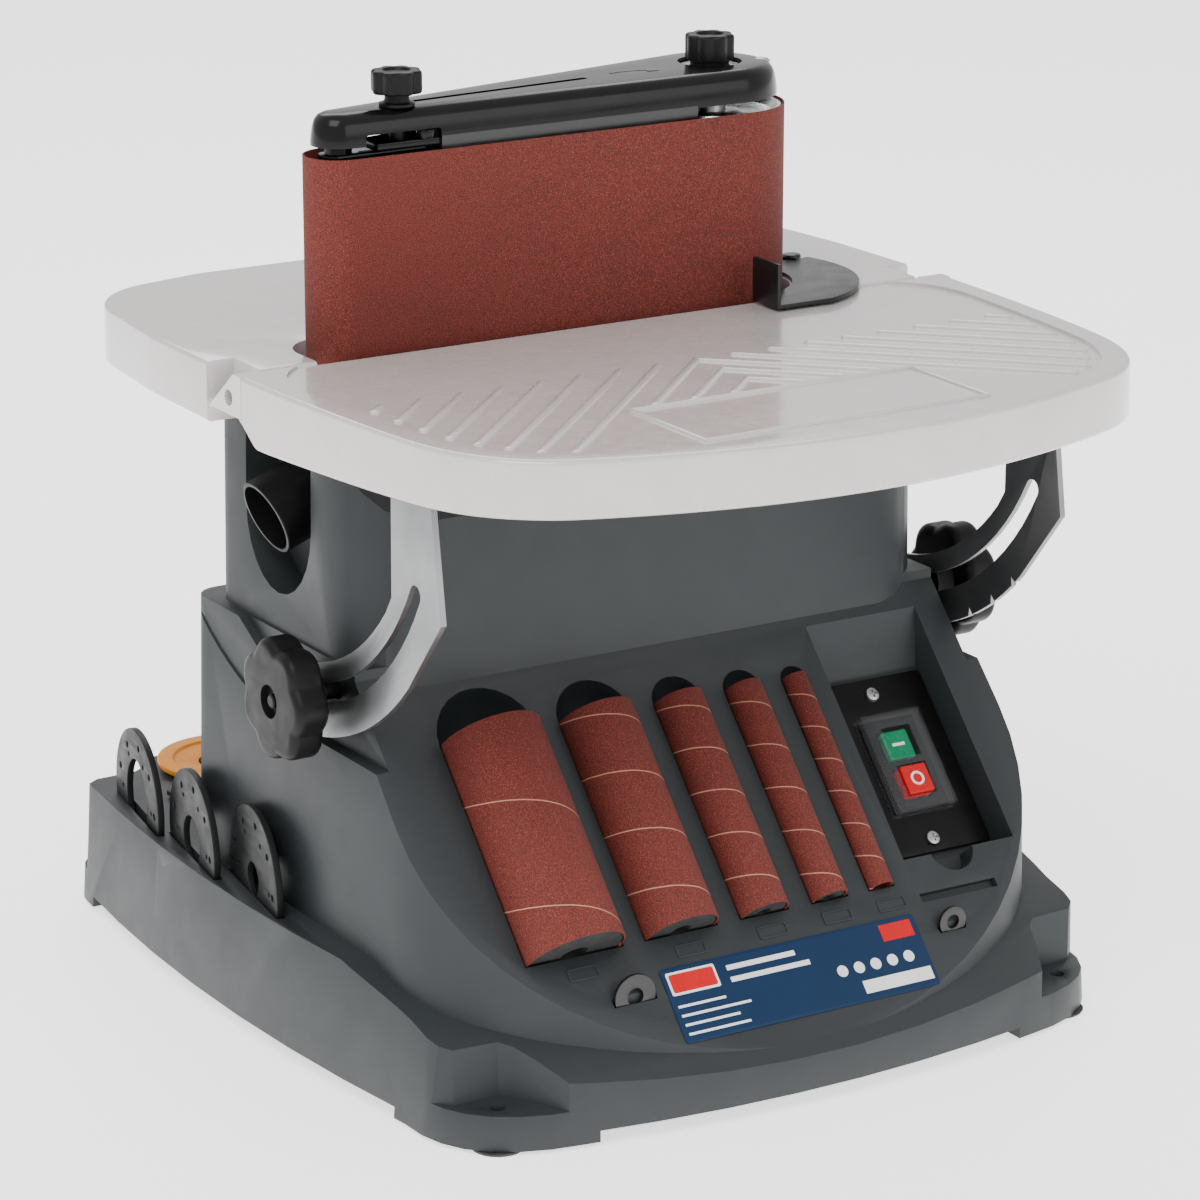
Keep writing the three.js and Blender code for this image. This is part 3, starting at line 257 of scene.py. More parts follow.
def combined(obj, tools, operation):
    """An object cut by, joined with or limited to some tools, which are used up."""
    for tool in tools:
        modifier = obj.modifiers.new("shape", "BOOLEAN")
        modifier.operation = operation
        modifier.solver = "EXACT"
        modifier.object = tool
    made = baked(obj)
    for tool in tools:
        bpy.data.objects.remove(tool)
    return made


def carved(obj, *tools):
    return combined(obj, tools, "DIFFERENCE")


def united(obj, *tools):
    return combined(obj, tools, "UNION")


def rounded_edges(obj, width, angle):
    """The object with every edge sharper than an angle in degrees rounded off."""
    modifier = obj.modifiers.new("edges", "BEVEL")
    modifier.width = width * MM
    modifier.segments = 2
    modifier.limit_method = "ANGLE"
    modifier.angle_limit = math.radians(angle)
    modifier.use_clamp_overlap = True
    return baked(obj)


def finished(obj, body, material, replaced=(), angle=35):
    """Gives a piece its body, its material and the CAD nodes that it stands for."""
    for polygon in obj.data.polygons:
        polygon.use_smooth = True
    obj.data.set_sharp_from_angle(angle=math.radians(angle))
    obj.data.materials.clear()
    obj.data.materials.append(material)
    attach(obj, body)
    if replaced:
        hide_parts(*replaced)
    return obj


def refined(node, width):
    """A copy of a CAD node with its triangles merged into faces and its edges rounded."""
    source = frame["nodes"][node].data
    mesh = bpy.data.meshes.new(node + "_fine")
    mesh.from_pydata([v.co for v in source.vertices], [], [tuple(p.vertices) for p in source.polygons])
    bm = bmesh.new()
    bm.from_mesh(mesh)
    bmesh.ops.remove_doubles(bm, verts=bm.verts, dist=CAD_WELD)
    bmesh.ops.dissolve_limit(bm, angle_limit=FLAT, verts=bm.verts, edges=bm.edges)
    bmesh.ops.recalc_face_normals(bm, faces=bm.faces)
    bm.to_mesh(mesh)
    bm.free()
    return rounded_edges(linked(node + "_fine", mesh), width, 30)


# ---------------------------------------------------------------- materials
# The colour sockets of a Mix node.
MIX_A, MIX_B, MIX_RESULT = 6, 7, 2


class Shader:
    """A procedural material, with short calls for the nodes it is built from."""

    def __init__(self, name, color, roughness, metallic=0.0):
        self.material = bpy.data.materials.new(name)
        self.material.use_nodes = True
        self.tree = self.material.node_tree
        self.bsdf = self.tree.nodes["Principled BSDF"]
        self.bsdf.inputs["Base Color"].default_value = (*color, 1)
        self.bsdf.inputs["Roughness"].default_value = roughness
        self.bsdf.inputs["Metallic"].default_value = metallic
        self.place = self.node("ShaderNodeTexCoord").outputs["Object"]

    def node(self, kind, **settings):
        made = self.tree.nodes.new(kind)
        for key, value in settings.items():
            setattr(made, key, value)
        return made

    def link(self, source, target):
        self.tree.links.new(source, target)

    def noise(self, scale, detail, roughness=0.55, stretch=None):
        made = self.node("ShaderNodeTexNoise")
        made.inputs["Scale"].default_value = scale
        made.inputs["Detail"].default_value = detail
        made.inputs["Roughness"].default_value = roughness
        place = self.place
        if stretch:
            mapping = self.node("ShaderNodeMapping")
            mapping.inputs["Scale"].default_value = stretch
            self.link(self.place, mapping.inputs["Vector"])
            place = mapping.outputs["Vector"]
        self.link(place, made.inputs["Vector"])
        return made.outputs["Fac"]

    def ramp(self, factor, low, high, from_color, to_color):
        made = self.node("ShaderNodeValToRGB")
        made.color_ramp.elements[0].position = low
        made.color_ramp.elements[0].color = (*from_color, 1)
        made.color_ramp.elements[1].position = high
        made.color_ramp.elements[1].color = (*to_color, 1)
        self.link(factor, made.inputs["Fac"])
        return made.outputs["Color"]

    def mix(self, factor, a, b):
        made = self.node("ShaderNodeMix", data_type="RGBA")
        for socket, value in (
            (made.inputs["Factor"], factor),
            (made.inputs[MIX_A], a),
            (made.inputs[MIX_B], b),
        ):
            if hasattr(value, "is_linked"):
                self.link(value, socket)
            elif isinstance(value, tuple):
                socket.default_value = (*value, 1)
            else:
                socket.default_value = value
        return made.outputs[MIX_RESULT]

    def math(self, operation, a, b=0.0):
        made = self.node("ShaderNodeMath", operation=operation)
        for socket, value in zip(made.inputs, (a, b)):
            if hasattr(value, "is_linked"):
                self.link(value, socket)
            else:
                socket.default_value = value
        return made.outputs["Value"]

    def span(self, value, low, high, to_low, to_high):
        """A value moved from one range to another, and held at its ends."""
        made = self.node("ShaderNodeMapRange")
        self.link(value, made.inputs["Value"])
        for name, number in (("From Min", low), ("From Max", high), ("To Min", to_low), ("To Max", to_high)):
            made.inputs[name].default_value = number
        return made.outputs["Result"]

    def color(self, output):
        self.link(output, self.bsdf.inputs["Base Color"])

    def rough(self, factor, low, high):
        """Lets the roughness wander between two values."""
        self.link(self.span(factor, 0.3, 0.7, low, high), self.bsdf.inputs["Roughness"])

    def bump(self, height, strength, distance):
        made = self.node("ShaderNodeBump")
        made.inputs["Strength"].default_value = strength
        made.inputs["Distance"].default_value = distance
        self.link(height, made.inputs["Height"])
        self.link(made.outputs["Normal"], self.bsdf.inputs["Normal"])


def tinted(base, factor):
    return tuple(c * factor for c in base)


HOUSING = (0.019, 0.0232, 0.0255)
PAINT = (0.54, 0.495, 0.48)
ABRASIVE = (0.12, 0.014, 0.008)
ABRASIVE_ROUGHNESS = 0.82
SEAM_WIDTH = 0.6  # of the pale spiral seam on the sleeves, in millimetres


def housing_plastic():
    s = Shader("housing_plastic", HOUSING, 0.5)
    s.bsdf.inputs["Specular IOR Level"].default_value = 0.38
    mottle = s.ramp(s.noise(26, 4), 0.3, 0.7, tinted(HOUSING, 0.96), tinted(HOUSING, 1.04))
    s.color(s.mix(s.span(s.noise(700, 2), 0.6, 0.75, 0.0, 0.35), mottle, tinted(HOUSING, 1.35)))
    s.rough(s.noise(60, 4), 0.45, 0.51)
    s.bump(s.noise(1400, 3), 0.22, 0.0003)
    return s.material


def table_paint():
    s = Shader("table_paint", PAINT, 0.24)
    s.color(s.ramp(s.noise(45, 5), 0.35, 0.7, tinted(PAINT, 0.96), tinted(PAINT, 1.03)))
    s.rough(s.noise(130, 3), 0.18, 0.3)
    s.bsdf.inputs["Coat Weight"].default_value = 0.8
    s.bsdf.inputs["Coat Roughness"].default_value = 0.1
    s.bsdf.inputs["Coat IOR"].default_value = 1.7
    s.bump(s.noise(420, 2, 0.5), 0.3, 0.0004)
    return s.material


def abrasive_color(s):
    """Brown grit with lighter and darker grains."""
    grain = s.noise(1500, 4, 0.7)
    grit = s.ramp(grain, 0.36, 0.66, (0.05, 0.0045, 0.0025), (0.2, 0.022, 0.011))
    sparkle = s.span(s.noise(2200, 2), 0.6, 0.7, 0.0, 0.7)
    drift = s.ramp(s.noise(22, 3), 0.3, 0.75, (0.88, 0.88, 0.88), (1.0, 1.0, 1.0))
    blend = s.node("ShaderNodeMix", data_type="RGBA", blend_type="MULTIPLY")
    blend.inputs["Factor"].default_value = 1.0
    s.link(s.mix(sparkle, grit, (0.42, 0.12, 0.08)), blend.inputs[MIX_A])
    s.link(drift, blend.inputs[MIX_B])
    s.bump(grain, 0.5, 0.0004)
    return blend.outputs[MIX_RESULT]


def belt_abrasive():
    s = Shader("belt_abrasive", ABRASIVE, ABRASIVE_ROUGHNESS)
    s.color(abrasive_color(s))
    return s.material


def sleeve_abrasive(name, pitch):
    """Abrasive cloth wound on a sleeve, with the pale seam of its spiral edge."""
    s = Shader("sleeve_abrasive_" + name, ABRASIVE, ABRASIVE_ROUGHNESS)
    axes = s.node("ShaderNodeSeparateXYZ")
    s.link(s.place, axes.inputs["Vector"])
    turn = s.math("ARCTAN2", axes.outputs["Y"], axes.outputs["X"])
    rise = s.math("DIVIDE", axes.outputs["Z"], pitch * MM)
    winding = s.math("ADD", rise, s.math("DIVIDE", turn, 2 * math.pi))
    waver = s.math("MULTIPLY", s.math("SUBTRACT", s.noise(160, 2), 0.5), 0.4 / pitch)
    phase = s.math("FRACT", s.math("ADD", s.math("ADD", winding, waver), 100.0))
    seam = s.math("LESS_THAN", phase, SEAM_WIDTH / pitch)
    s.color(s.mix(s.math("MULTIPLY", seam, 0.8), abrasive_color(s), (0.5, 0.24, 0.16)))
    return s.material


def gloss_black():
    color, roughness = (0.003, 0.003, 0.0033), 0.16
    s = Shader("gloss_black", color, roughness)
    s.color(s.ramp(s.noise(30, 4), 0.3, 0.75, color, tinted(color, 1.7)))
    s.rough(s.noise(18, 4), roughness * 0.8, roughness * 1.5)
    s.bsdf.inputs["Specular IOR Level"].default_value = 0.2
    s.bump(s.noise(260, 2), 0.06, 0.0004)
    return s.material


def satin_black(name="satin_black", color=(0.004, 0.004, 0.0045), roughness=0.4, shine=0.16):
    s = Shader(name, color, roughness)
    s.bsdf.inputs["Specular IOR Level"].default_value = shine
    s.color(s.ramp(s.noise(60, 4), 0.3, 0.75, color, tinted(color, 1.6)))
    s.rough(s.noise(90, 3), roughness * 0.85, roughness * 1.25)
    s.bump(s.noise(1600, 2), 0.15, 0.0002)
    return s.material


def zinc_plate():
    s = Shader("zinc_plate", (0.5, 0.51, 0.52), 0.35, 1.0)
    s.color(s.ramp(s.noise(24, 3, 0.5), 0.3, 0.7, (0.2, 0.205, 0.21), (0.27, 0.275, 0.28)))
    s.rough(s.noise(30, 3), 0.34, 0.46)
    s.bump(s.noise(500, 3), 0.1, 0.0003)
    return s.material


def machined(name, color, roughness):
    """Turned or ground metal with fine lines round it."""
    s = Shader(name, color, roughness, 1.0)
    lines = s.noise(40, 3, 0.6, (6, 6, 160))
    s.color(s.ramp(lines, 0.3, 0.7, tinted(color, 0.78), tinted(color, 1.12)))
    s.rough(lines, roughness * 0.75, roughness * 1.3)
    s.bump(lines, 0.08, 0.0002)
    return s.material


def rubber_grey():
    color = (0.02, 0.021, 0.021)
    s = Shader("rubber_grey", color, 0.75)
    s.color(s.ramp(s.noise(150, 4), 0.3, 0.75, tinted(color, 0.7), tinted(color, 1.5)))
    s.bump(s.noise(900, 3), 0.3, 0.0003)
    return s.material


def colored_plastic(name, color, roughness=0.25):
    s = Shader(name, color, roughness)
    s.bsdf.inputs["Specular IOR Level"].default_value = 0.25
    s.color(s.ramp(s.noise(70, 3), 0.3, 0.75, tinted(color, 0.93), tinted(color, 1.05)))
    s.rough(s.noise(120, 3), roughness * 0.8, roughness * 1.3)
    s.bump(s.noise(900, 2), 0.06, 0.0002)
    return s.material


def clear_cover():
    s = Shader("clear_cover", (0.5, 0.53, 0.55), 0.08)
    s.bsdf.inputs["Alpha"].default_value = 0.04
    s.rough(s.noise(60, 3), 0.05, 0.14)
    s.bump(s.noise(90, 2), 0.08, 0.0002)
    return s.material


LOOKS = {
    "housing": housing_plastic(),
    "table": table_paint(),
    "abrasive": belt_abrasive(),
    "black_steel": gloss_black(),
    "black_plastic": satin_black(),
    "insert_plastic": satin_black("insert_plastic", (0.008, 0.0085, 0.009), 0.42),
    "stop_paint": satin_black("stop_paint", (0.006, 0.006, 0.0065), 0.32, 0.35),
    "dark_steel": machined("dark_steel", (0.07, 0.07, 0.07), 0.42),
    "shadow_steel": machined("shadow_steel", (0.03, 0.03, 0.03), 0.6),
    "zinc": zinc_plate(),
    "lip": machined("guard_lip_metal", (0.07, 0.07, 0.07), 0.45),
    "steel": machined("machined_steel", (0.46, 0.46, 0.47), 0.32),
    "drum": machined("turned_aluminium", (0.62, 0.63, 0.64), 0.25),
    "rubber": rubber_grey(),
    "amber": colored_plastic("amber_plastic", (0.66, 0.225, 0.0), 0.4),
    "green": colored_plastic("green_plastic", (0.0, 0.2, 0.085)),
    "red": colored_plastic("red_plastic", (0.55, 0.004, 0.006)),
    "clear": clear_cover(),
    "stator": satin_black("motor_casing", (0.05, 0.052, 0.055), 0.5),
    "white_print": colored_plastic("white_print", (0.8, 0.8, 0.8), 0.4),
    "blue_label": colored_plastic("blue_label", (0.0, 0.018, 0.06), 0.4),
}
SLOT_OF = {part["node"]: part["material_slot"] for part in frame["record"]["subparts"]}
BODY_OF = {n: body for body, members in frame["record"]["behaviour"]["bodies"].items() for n in members}
SIDES = (-1, 1)
replaced_nodes = set()


def stands_for(obj, node, material=None, angle=35):
    """Finishes a piece that stands for one CAD node, on that node's body."""
    slot = SLOT_OF[node]
    replaced_nodes.add(node)
    return finished(obj, BODY_OF[node], material or LOOKS[slot], (node,), angle)


def across(side, near, far):
    """Two distances from the middle, as the low and the high x on one side."""
    return sorted((side * near, side * far))


# ---------------------------------------------------------------- tables
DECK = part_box("rear_table")[1][2] / MM  # height of both tables' upper face
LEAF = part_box("tilting_table")
HALF = LEAF[1][0] / MM  # half the tables' width
FOOT = LEAF[0][2] / MM  # height of the tables' lower edge
SEAM = 0.4  # half the gap between the tables
RIM = 2.2  # radius of the castings' outer edges
SKIRT = 6  # thickness of their side walls
SLAB = 8  # thickness of their tops
HINGE_Y, HINGE_Z = 4.5, DECK - 12
NOTCH = 15  # width of the hinge notches
IDLER = (-132, 19.5)
SPINDLE = (86, 40)
STOP_SCREW = (150, 61)
FIELD_DEPTH = 1.3  # how far the ribbed field lies below the table's rim
FIELD_INSET = 13
RIB_INSET = 19
RIB_PITCH = 21.0
RIB_HEAD = -84.0  # y of the ribs' upper ends
RIB_WIDTH = 4.6
LONGEST_RIB = 170
SHORTEST_RIB = 6
BLANK_X, BLANK_Y = (-76, 76), (-210, -149)  # a plain rectangle between the ribs
BLANK_MARGIN = 4


def leaf_outline(inset=0.0):
    """The tilting table's outline, from its left back corner round the front to the right."""
    side = HALF - inset
    front = LEAF[0][1] / MM
    brow = front + inset
    points = [(-side, -SEAM)]
    points += swing(points[-1], (2.5 - side, -95), (11 - side, -150))
    points += swing(points[-1], (20 - side, -198 + inset), (-142, -213 + inset))
    points += swing(points[-1], (-70, brow), (0, brow), 20)
    points += swing(points[-1], (70, brow), (142, -213 + inset), 20)
    points += swing(points[-1], (side - 20, -198 + inset), (side - 11, -150))
    points += swing(points[-1], (side - 2.5, -95), (side, -SEAM))
    return points


def field_outline():
    """The slightly sunken part of the tilting table that holds the ribs."""
    inner = [(x, y) for x, y in leaf_outline(FIELD_INSET) if y < -44]
    edge = HALF - FIELD_INSET
    left, right = (30 - edge, 4), (edge - 30, 4)
    return [left] + swing(left, (-edge, -8), inner[0]) + inner + swing(inner[-1], (edge, -8), right)


def rib(start, end, width=RIB_WIDTH):
    """A low rounded bar on the table, between two points."""
    a, b = Vector(start), Vector(end)
    along = (b - a).normalized()
    sidelong = Vector((-along.y, along.x))
    length = (b - a).length
    steps, sides = 5, 8
    turns = [math.pi / 2 * k / steps for k in range(steps + 1)]
    stations = [(-width / 2 * math.cos(t), math.sin(t)) for t in turns]
    stations += [(length - distance, swell) for distance, swell in reversed(stations)]
    bm = bmesh.new()
    rows = []
    for distance, swell in stations:
        row = []
        for k in range(sides + 1):
            turn = math.pi * k / sides
            offset = sidelong * (width / 2 * swell * math.cos(turn))
            place = a + along * distance + offset
            height = DECK - FIELD_DEPTH + FIELD_DEPTH * swell * math.sin(turn)
            row.append(bm.verts.new((place.x * MM, place.y * MM, height * MM)))
        rows.append(row)
    for low, high in zip(rows, rows[1:]):
        for k in range(sides):
            bm.faces.new((low[k], low[k + 1], high[k + 1], high[k]))
    bmesh.ops.remove_doubles(bm, verts=bm.verts, dist=WELD)
    bmesh.ops.contextual_create(bm, geom=[e for e in bm.edges if e.is_boundary])
    bmesh.ops.recalc_face_normals(bm, faces=bm.faces)
    return as_object("rib", bm)


def inside(point, outline):
    x, y = point
    crossings = False
    for (ax, ay), (bx, by) in zip(outline, outline[1:] + outline[:1]):
        if (ay > y) != (by > y) and x < (bx - ax) * (y - ay) / (by - ay) + ax:
            crossings = not crossings
    return crossings


def rib_lines():
    """Diagonal ribs that fall away to the right of the middle, clear of the blank rectangle."""
    limit = leaf_outline(RIB_INSET)
    starts = [(0.0, RIB_HEAD - RIB_PITCH * k) for k in range(1, 4)]
    starts += [(RIB_PITCH * k, RIB_HEAD) for k in range(10)]
    lines = []
    for x0, y0 in starts:
        reach = []
        for travel in range(LONGEST_RIB):
            x, y = x0 + travel, y0 - travel
            beside = x < BLANK_X[1] + BLANK_MARGIN
            blank = beside and BLANK_Y[0] - BLANK_MARGIN < y < BLANK_Y[1] + BLANK_MARGIN
            if inside((x, y), limit) and not blank:
                reach.append((x, y))
            elif reach:
                break
        if len(reach) > SHORTEST_RIB:
            lines.append((reach[0], reach[-1]))
    return lines


def hinge_bore(side, radius, near, far):
    """A rod along the hinge's axis, between two distances from the middle."""
    return rod("bore", radius, (side * near, HINGE_Y, HINGE_Z), (side * far, HINGE_Y, HINGE_Z))


def raised_foot(body):
    """Lifts the tilting table's lower edge gradually towards its front."""
    start, run, rise = -30, 170, 5
    for vertex in body.data.vertices:
        if vertex.co.z < (DECK - 16) * MM:
            reach = (start * MM - vertex.co.y) / (run * MM)
            vertex.co.z += rise * MM * min(max(reach, 0), 1)


def tilting_table():
    body = plate("tilting_table_body", [leaf_outline()], FOOT, DECK, RIM, 4)
    raised_foot(body)
    inner = HALF - 14
    dish_outline = [(x, min(y, 12)) for x, y in leaf_outline(SKIRT)]
    fall = [(-5.5, DECK - 20), (-22, FOOT), (-22, FOOT - 5), (20, FOOT - 5)]
    open_back = [(4, DECK - 9.5)] + fall + [(20, DECK - 9.5)]
    body = carved(
        body,
        plate("dish", [dish_outline], FOOT - 4, DECK - SLAB),
        sideways(plate("open_back", [open_back], -inner, inner)),
        brick("back", (-HALF + SKIRT, HALF - SKIRT), (-30, 5), (FOOT - 3, DECK - SLAB)),
        plate("field", [field_outline()], DECK - FIELD_DEPTH, DECK + 4),
    )
    fall_side = fall + [(20, DECK - 20)]
    body = carved(body, sideways(plate("side_fall", [fall_side], -HALF - 2, HALF + 2)))
    lug = [(-8, DECK), (-SEAM, DECK), (24.5, DECK - 20), (-5.5, DECK - 20), (-8, DECK - 21.8)]
    body = united(
        body,
        *[sideways(plate("lug", [lug], *across(side, inner, HALF - 0.05))) for side in SIDES],
        *[brick("brace", across(side, 172.4, 182), (-138, -96), (DECK - 28, DECK - 7)) for side in (1, -1)],
    )
    pin_holes = [hinge_bore(side, 3.9, 180, 210) for side in SIDES]
    reliefs = [hinge_bore(side, 9.5, 168, inner - 0.1) for side in SIDES]
    body = carved(body, *pin_holes, *reliefs)
    bars = [rib((side * a[0], a[1]), (side * b[0], b[1])) for a, b in rib_lines() for side in SIDES]
    corners = rectangle(BLANK_X, BLANK_Y)
    bars += [rib(a, b, 2.2) for a, b in zip(corners, corners[1:] + corners[:1])]
    stands_for(merged("tilting_table_fine", body, *bars), "tilting_table", angle=30)


def belt_opening():
    """The opening in the rear table, which follows the belt round both drums."""
    return (
        [(-155, -10), (-155, 19.5)]
        + arc(*IDLER, 23, 180, 98, 14)
        + arc(*SPINDLE, 41, 98, 0, 24)
        + arc(*SPINDLE, 41, -15, -75, 12)
        + [(94, -10)]
    )


def rear_outline(back, inset, front, steps):
    """The rear table's outline, or the inner face of its side walls at an inset."""
    side, end = HALF - inset, back - inset
    right = [(side, front, 0), (side - 2, 90, 120)]
    right += [(side - 12, end - 14, 50 - inset), (118, end, 60 - inset)]
    left = [(-x, y, radius) for x, y, radius in reversed(right)]
    return rounded(left[-1:] + right + left[:-1], steps)


def rear_table():
    low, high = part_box("rear_table")
    back, foot = high[1] / MM, low[2] / MM
    body = plate("rear_table_body", [rear_outline(back, 0, SEAM, 14)], foot, DECK, RIM, 4)
    body = carved(body, plate("dish", [rear_outline(back, SKIRT, -9, 10)], FOOT - 4, DECK - SLAB))
    inner = HALF - NOTCH
    web = rectangle((HINGE_Y, 34), (HINGE_Z + 4, HINGE_Z - 8))
    blocks = []
    for side in SIDES:
        a, b = across(side, 171, inner)
        blocks.append(sideways(plate("web", [web], a, b)))
        blocks.append(rod("boss", 8, (a, HINGE_Y, HINGE_Z), (b, HINGE_Y, HINGE_Z), 48))
        blocks.append(brick("wall", across(side, HALF - 2, inner - 4), (28, 34), (foot, DECK - 1)))
    body = united(body, *blocks)
    body = carved(
        body,
        *[brick("notch", across(side, inner, HALF + 5), (-5, 28), (FOOT - 5, DECK + 5)) for side in SIDES],
        plate("opening", [belt_opening()], DECK - 20, DECK + 5),
        rod("screw_hole", 3.2, (*STOP_SCREW, DECK - 13), (*STOP_SCREW, DECK + 5)),
        *[hinge_bore(side, 3.8, 160, 210) for side in SIDES],
    )
    body.name = "rear_table_fine"
    stands_for(rounded_edges(welded(body), 0.7, 50), "rear_table", angle=32)


# ---------------------------------------------------------------- belt unit
# Radii round the idler and round the drive drum.
BELT_OUTSIDE = (16.8, 37.0)
BELT_INSIDE = (15.9, 36.1)
GUARD_EDGE = (15.6, 35.8)
LIP_EDGE = (13.4, 33.4)
GUARD_SKIN = 1.6
# How far the guard's skin lies inside its edge, and its height there.
GUARD_PROFILE = (
    (2.6, 0.0),
    (2.6, 2.5),
    (3.2, 7.0),
    (3.8, 9.8),
    (4.6, 12.0),
    (6.2, 14.0),
    (8.6, 15.1),
    (11.0, 15.4),
)
TRACKER = (-102, 17)
SMALL_KNOBS = (
    # node, centre, depth of the dish, and then above the tables: the grip, and the neck as turned
    (
        "spindle_knob",
        SPINDLE,
        1.4,
        (113, 126),
        ((5.8, 103), (7.6, 103), (9.4, 107), (9.6, 113.5), (5.8, 113.5), (5.8, 103)),
    ),
    (
        "tracking_knob",
        TRACKER,
        1.2,
        (118.5, 129.5),
        ((0, 93), (3.9, 93), (3.9, 112.7), (8.4, 112.7), (8.5, 114), (6.4, 114.6), (5.8, 116), (5.8, 119))
        + ((0, 119), (0, 93)),
    ),
)


def loop(small, large):
    """The outline round both drums, at the given radii."""
    steps = 40
    dx, dy = SPINDLE[0] - IDLER[0], SPINDLE[1] - IDLER[1]
    lean = math.degrees(math.atan2(dy, dx))
    spread = math.degrees(math.acos((small - large) / math.hypot(dx, dy)))
    return arc(*IDLER, small, lean + spread, lean + 360 - spread, steps) + arc(
        *SPINDLE, large, lean - spread, lean + spread, steps + 16
    )


def sanding_belt():
    low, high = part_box("sanding_belt")[0][2] / MM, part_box("sanding_belt")[1][2] / MM
    belt = plate("sanding_belt_fine", [loop(*BELT_OUTSIDE), loop(*BELT_INSIDE)], low, high, 0.15, 1)
    stands_for(belt, "sanding_belt", angle=40)


def arrow(z):
    """A low curved arrow that shows the belt's direction."""
    middle, neck, tail, tip = (34, 12), 62, 108, 48
    outline = [polar(middle, 30, neck)]
    outline += arc(*middle, 26, neck, tail, 12) + arc(*middle, 24.4, tail, neck, 12)
    outline += [polar(middle, 20.5, neck), polar(middle, 25.2, tip)]
    return plate("arrow", [outline], z - 0.4, z + 0.5, 0.2, 1)


def guard_shell(name, skin, low):
    """The guard's outer face, or its inner face at the depth of its skin."""
    rings = []
    for inset, rise in GUARD_PROFILE:
        reach = inset + skin
        height = low - 2 if skin and rise == 0 else low + rise - skin
        rings.append((loop(GUARD_EDGE[0] - reach, GUARD_EDGE[1] - reach), height))
    return lofted(name, rings)


def belt_guard():
    low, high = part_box("belt_guard")[0][2] / MM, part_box("belt_guard")[1][2] / MM
    slot = rounded([(-98, 20.5, 1.4), (10, 29.5, 1.4), (10, 33.5, 1.4), (-98, 24.5, 1.4)], 6)
    body = carved(
        guard_shell("belt_guard_body", 0, low),
        guard_shell("inside", GUARD_SKIN, low),
        rod("spindle_hole", 15.8, (*SPINDLE, high - 4), (*SPINDLE, high + 4), 96),
        rod("screw_hole", 5.6, (*TRACKER, high - 4), (*TRACKER, high + 4), 48),
        plate("slot", [slot], high - 4, high + 4),
        brick("mouth", (-124, -84), (-10, 12), (low - 2, low + 5), 1.5),
    )
    stands_for(merged("belt_guard_fine", body, arrow(high - 0.3)), "belt_guard", angle=30)
    screw_profile = [(0, 0), (4.2, 0), (4.2, 0.8), (3.0, 2.0), (1.4, 2.3), (0, 2.3)]
    screw = turned("guard_screw", screw_profile, 48, (112, 33))
    screw.data.transform(Matrix.Translation((0, 0, (high - 1.9) * MM)))
    finished(screw, "belt_unit", LOOKS["steel"])
    washer_profile = [(9.9, 0), (15.4, 0), (15.4, 1.0), (15.0, 1.4), (9.9, 1.4), (9.9, 0)]
    washer = turned("spindle_hub_washer", washer_profile, 96, SPINDLE)
    washer.data.transform(Matrix.Translation((0, 0, (high - 3.4) * MM)))
    finished(washer, "belt_unit", LOOKS["steel"])
    lip = plate("guard_lip", [loop(*LIP_EDGE)], low - 5.6, low + 1.4, 0.6, 2)
    keep = brick("keep", (-84, 58), (-60, 9), (low - 9, low + 9))
    finished(combined(lip, [keep], "INTERSECT"), "belt_unit", LOOKS["lip"])


def small_knobs():
    """The spindle's and the tracking screw's knobs: a turned neck and a lobed, dished grip."""
    for node, centre, depth, (low, high), neck_profile in SMALL_KNOBS:
        neck = turned("neck", [(radius, DECK + height) for radius, height in neck_profile], 64, centre)
        grip = plate("grip", [lobed(12.3, 1.6, 8, 160, 0.7)], DECK + low, DECK + high, 1.6, 5)
        grip.data.transform(Matrix.Translation((centre[0] * MM, centre[1] * MM, 0)))
        rim, floor_z = DECK + high + 0.4, DECK + high - depth
        dish_profile = [(0, rim), (0, floor_z), (6.2, floor_z), (7, rim), (0, rim)]
        grip = carved(grip, turned("dish", dish_profile, 48, centre))
        stands_for(merged(node + "_fine", neck, grip), node, angle=35)


def drive_drum():
    low, high = DECK - 9, DECK + 91.5
    profile = [
        (8.3, low),
        (34.6, low),
        (35.8, low + 1.2),
        (35.8, high - 1),
        (35.2, high),
        (33.4, high),
        (31, high - 3.5),
        (16, high - 3.5),
        (14.5, high - 3.0),
        (8.3, high - 3.0),
        (8.3, low),
    ]
    stands_for(turned("drive_drum_fine", profile, 128, SPINDLE), "drive_drum", angle=30)


# ---------------------------------------------------------------- tilt knobs
TRUNNION_X = 174  # outer face of the trunnions


def tilt_knobs():
    """The clamp knobs, drawn along +Z and turned to face outwards on each side."""
    for side, node in zip(SIDES, ("tilt_knob_left", "tilt_knob_right")):
        low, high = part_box(node)
        cy, cz = (low[1] + high[1]) / 2 / MM, (low[2] + high[2]) / 2 / MM
        grip = plate("grip", [lobed(29.8, 3.4, 7, 280, 0.6)], 7.5, 25, 4.6, 6)
        hub = turned("hub", [(0, 0), (11, 0), (11.6, 3), (15, 9), (15, 12), (0, 12), (0, 0)], 64)
        cap = turned("cap", [(0, 27), (0, 21.5), (7.8, 21.5), (8.2, 27), (0, 27)], 64)
        bolt = turned("bolt", [(0, -26), (4, -26), (4, 1), (0, 1), (0, -26)], 32)
        grip = carved(grip, cap)
        boss = turned("boss", [(0, 20), (3.4, 20), (3.4, 23.6), (2.6, 24.2), (0, 24.2), (0, 20)], 32)
        whole = merged(node + "_fine", grip, hub, bolt, boss)
        axes = Matrix(((0, 0, side, 0), (side, 0, 0, 0), (0, 1, 0, 0), (0, 0, 0, 1)))
        whole.data.transform(Matrix.Translation((side * TRUNNION_X * MM, cy * MM, cz * MM)) @ axes)
        stands_for(whole, node, angle=30)


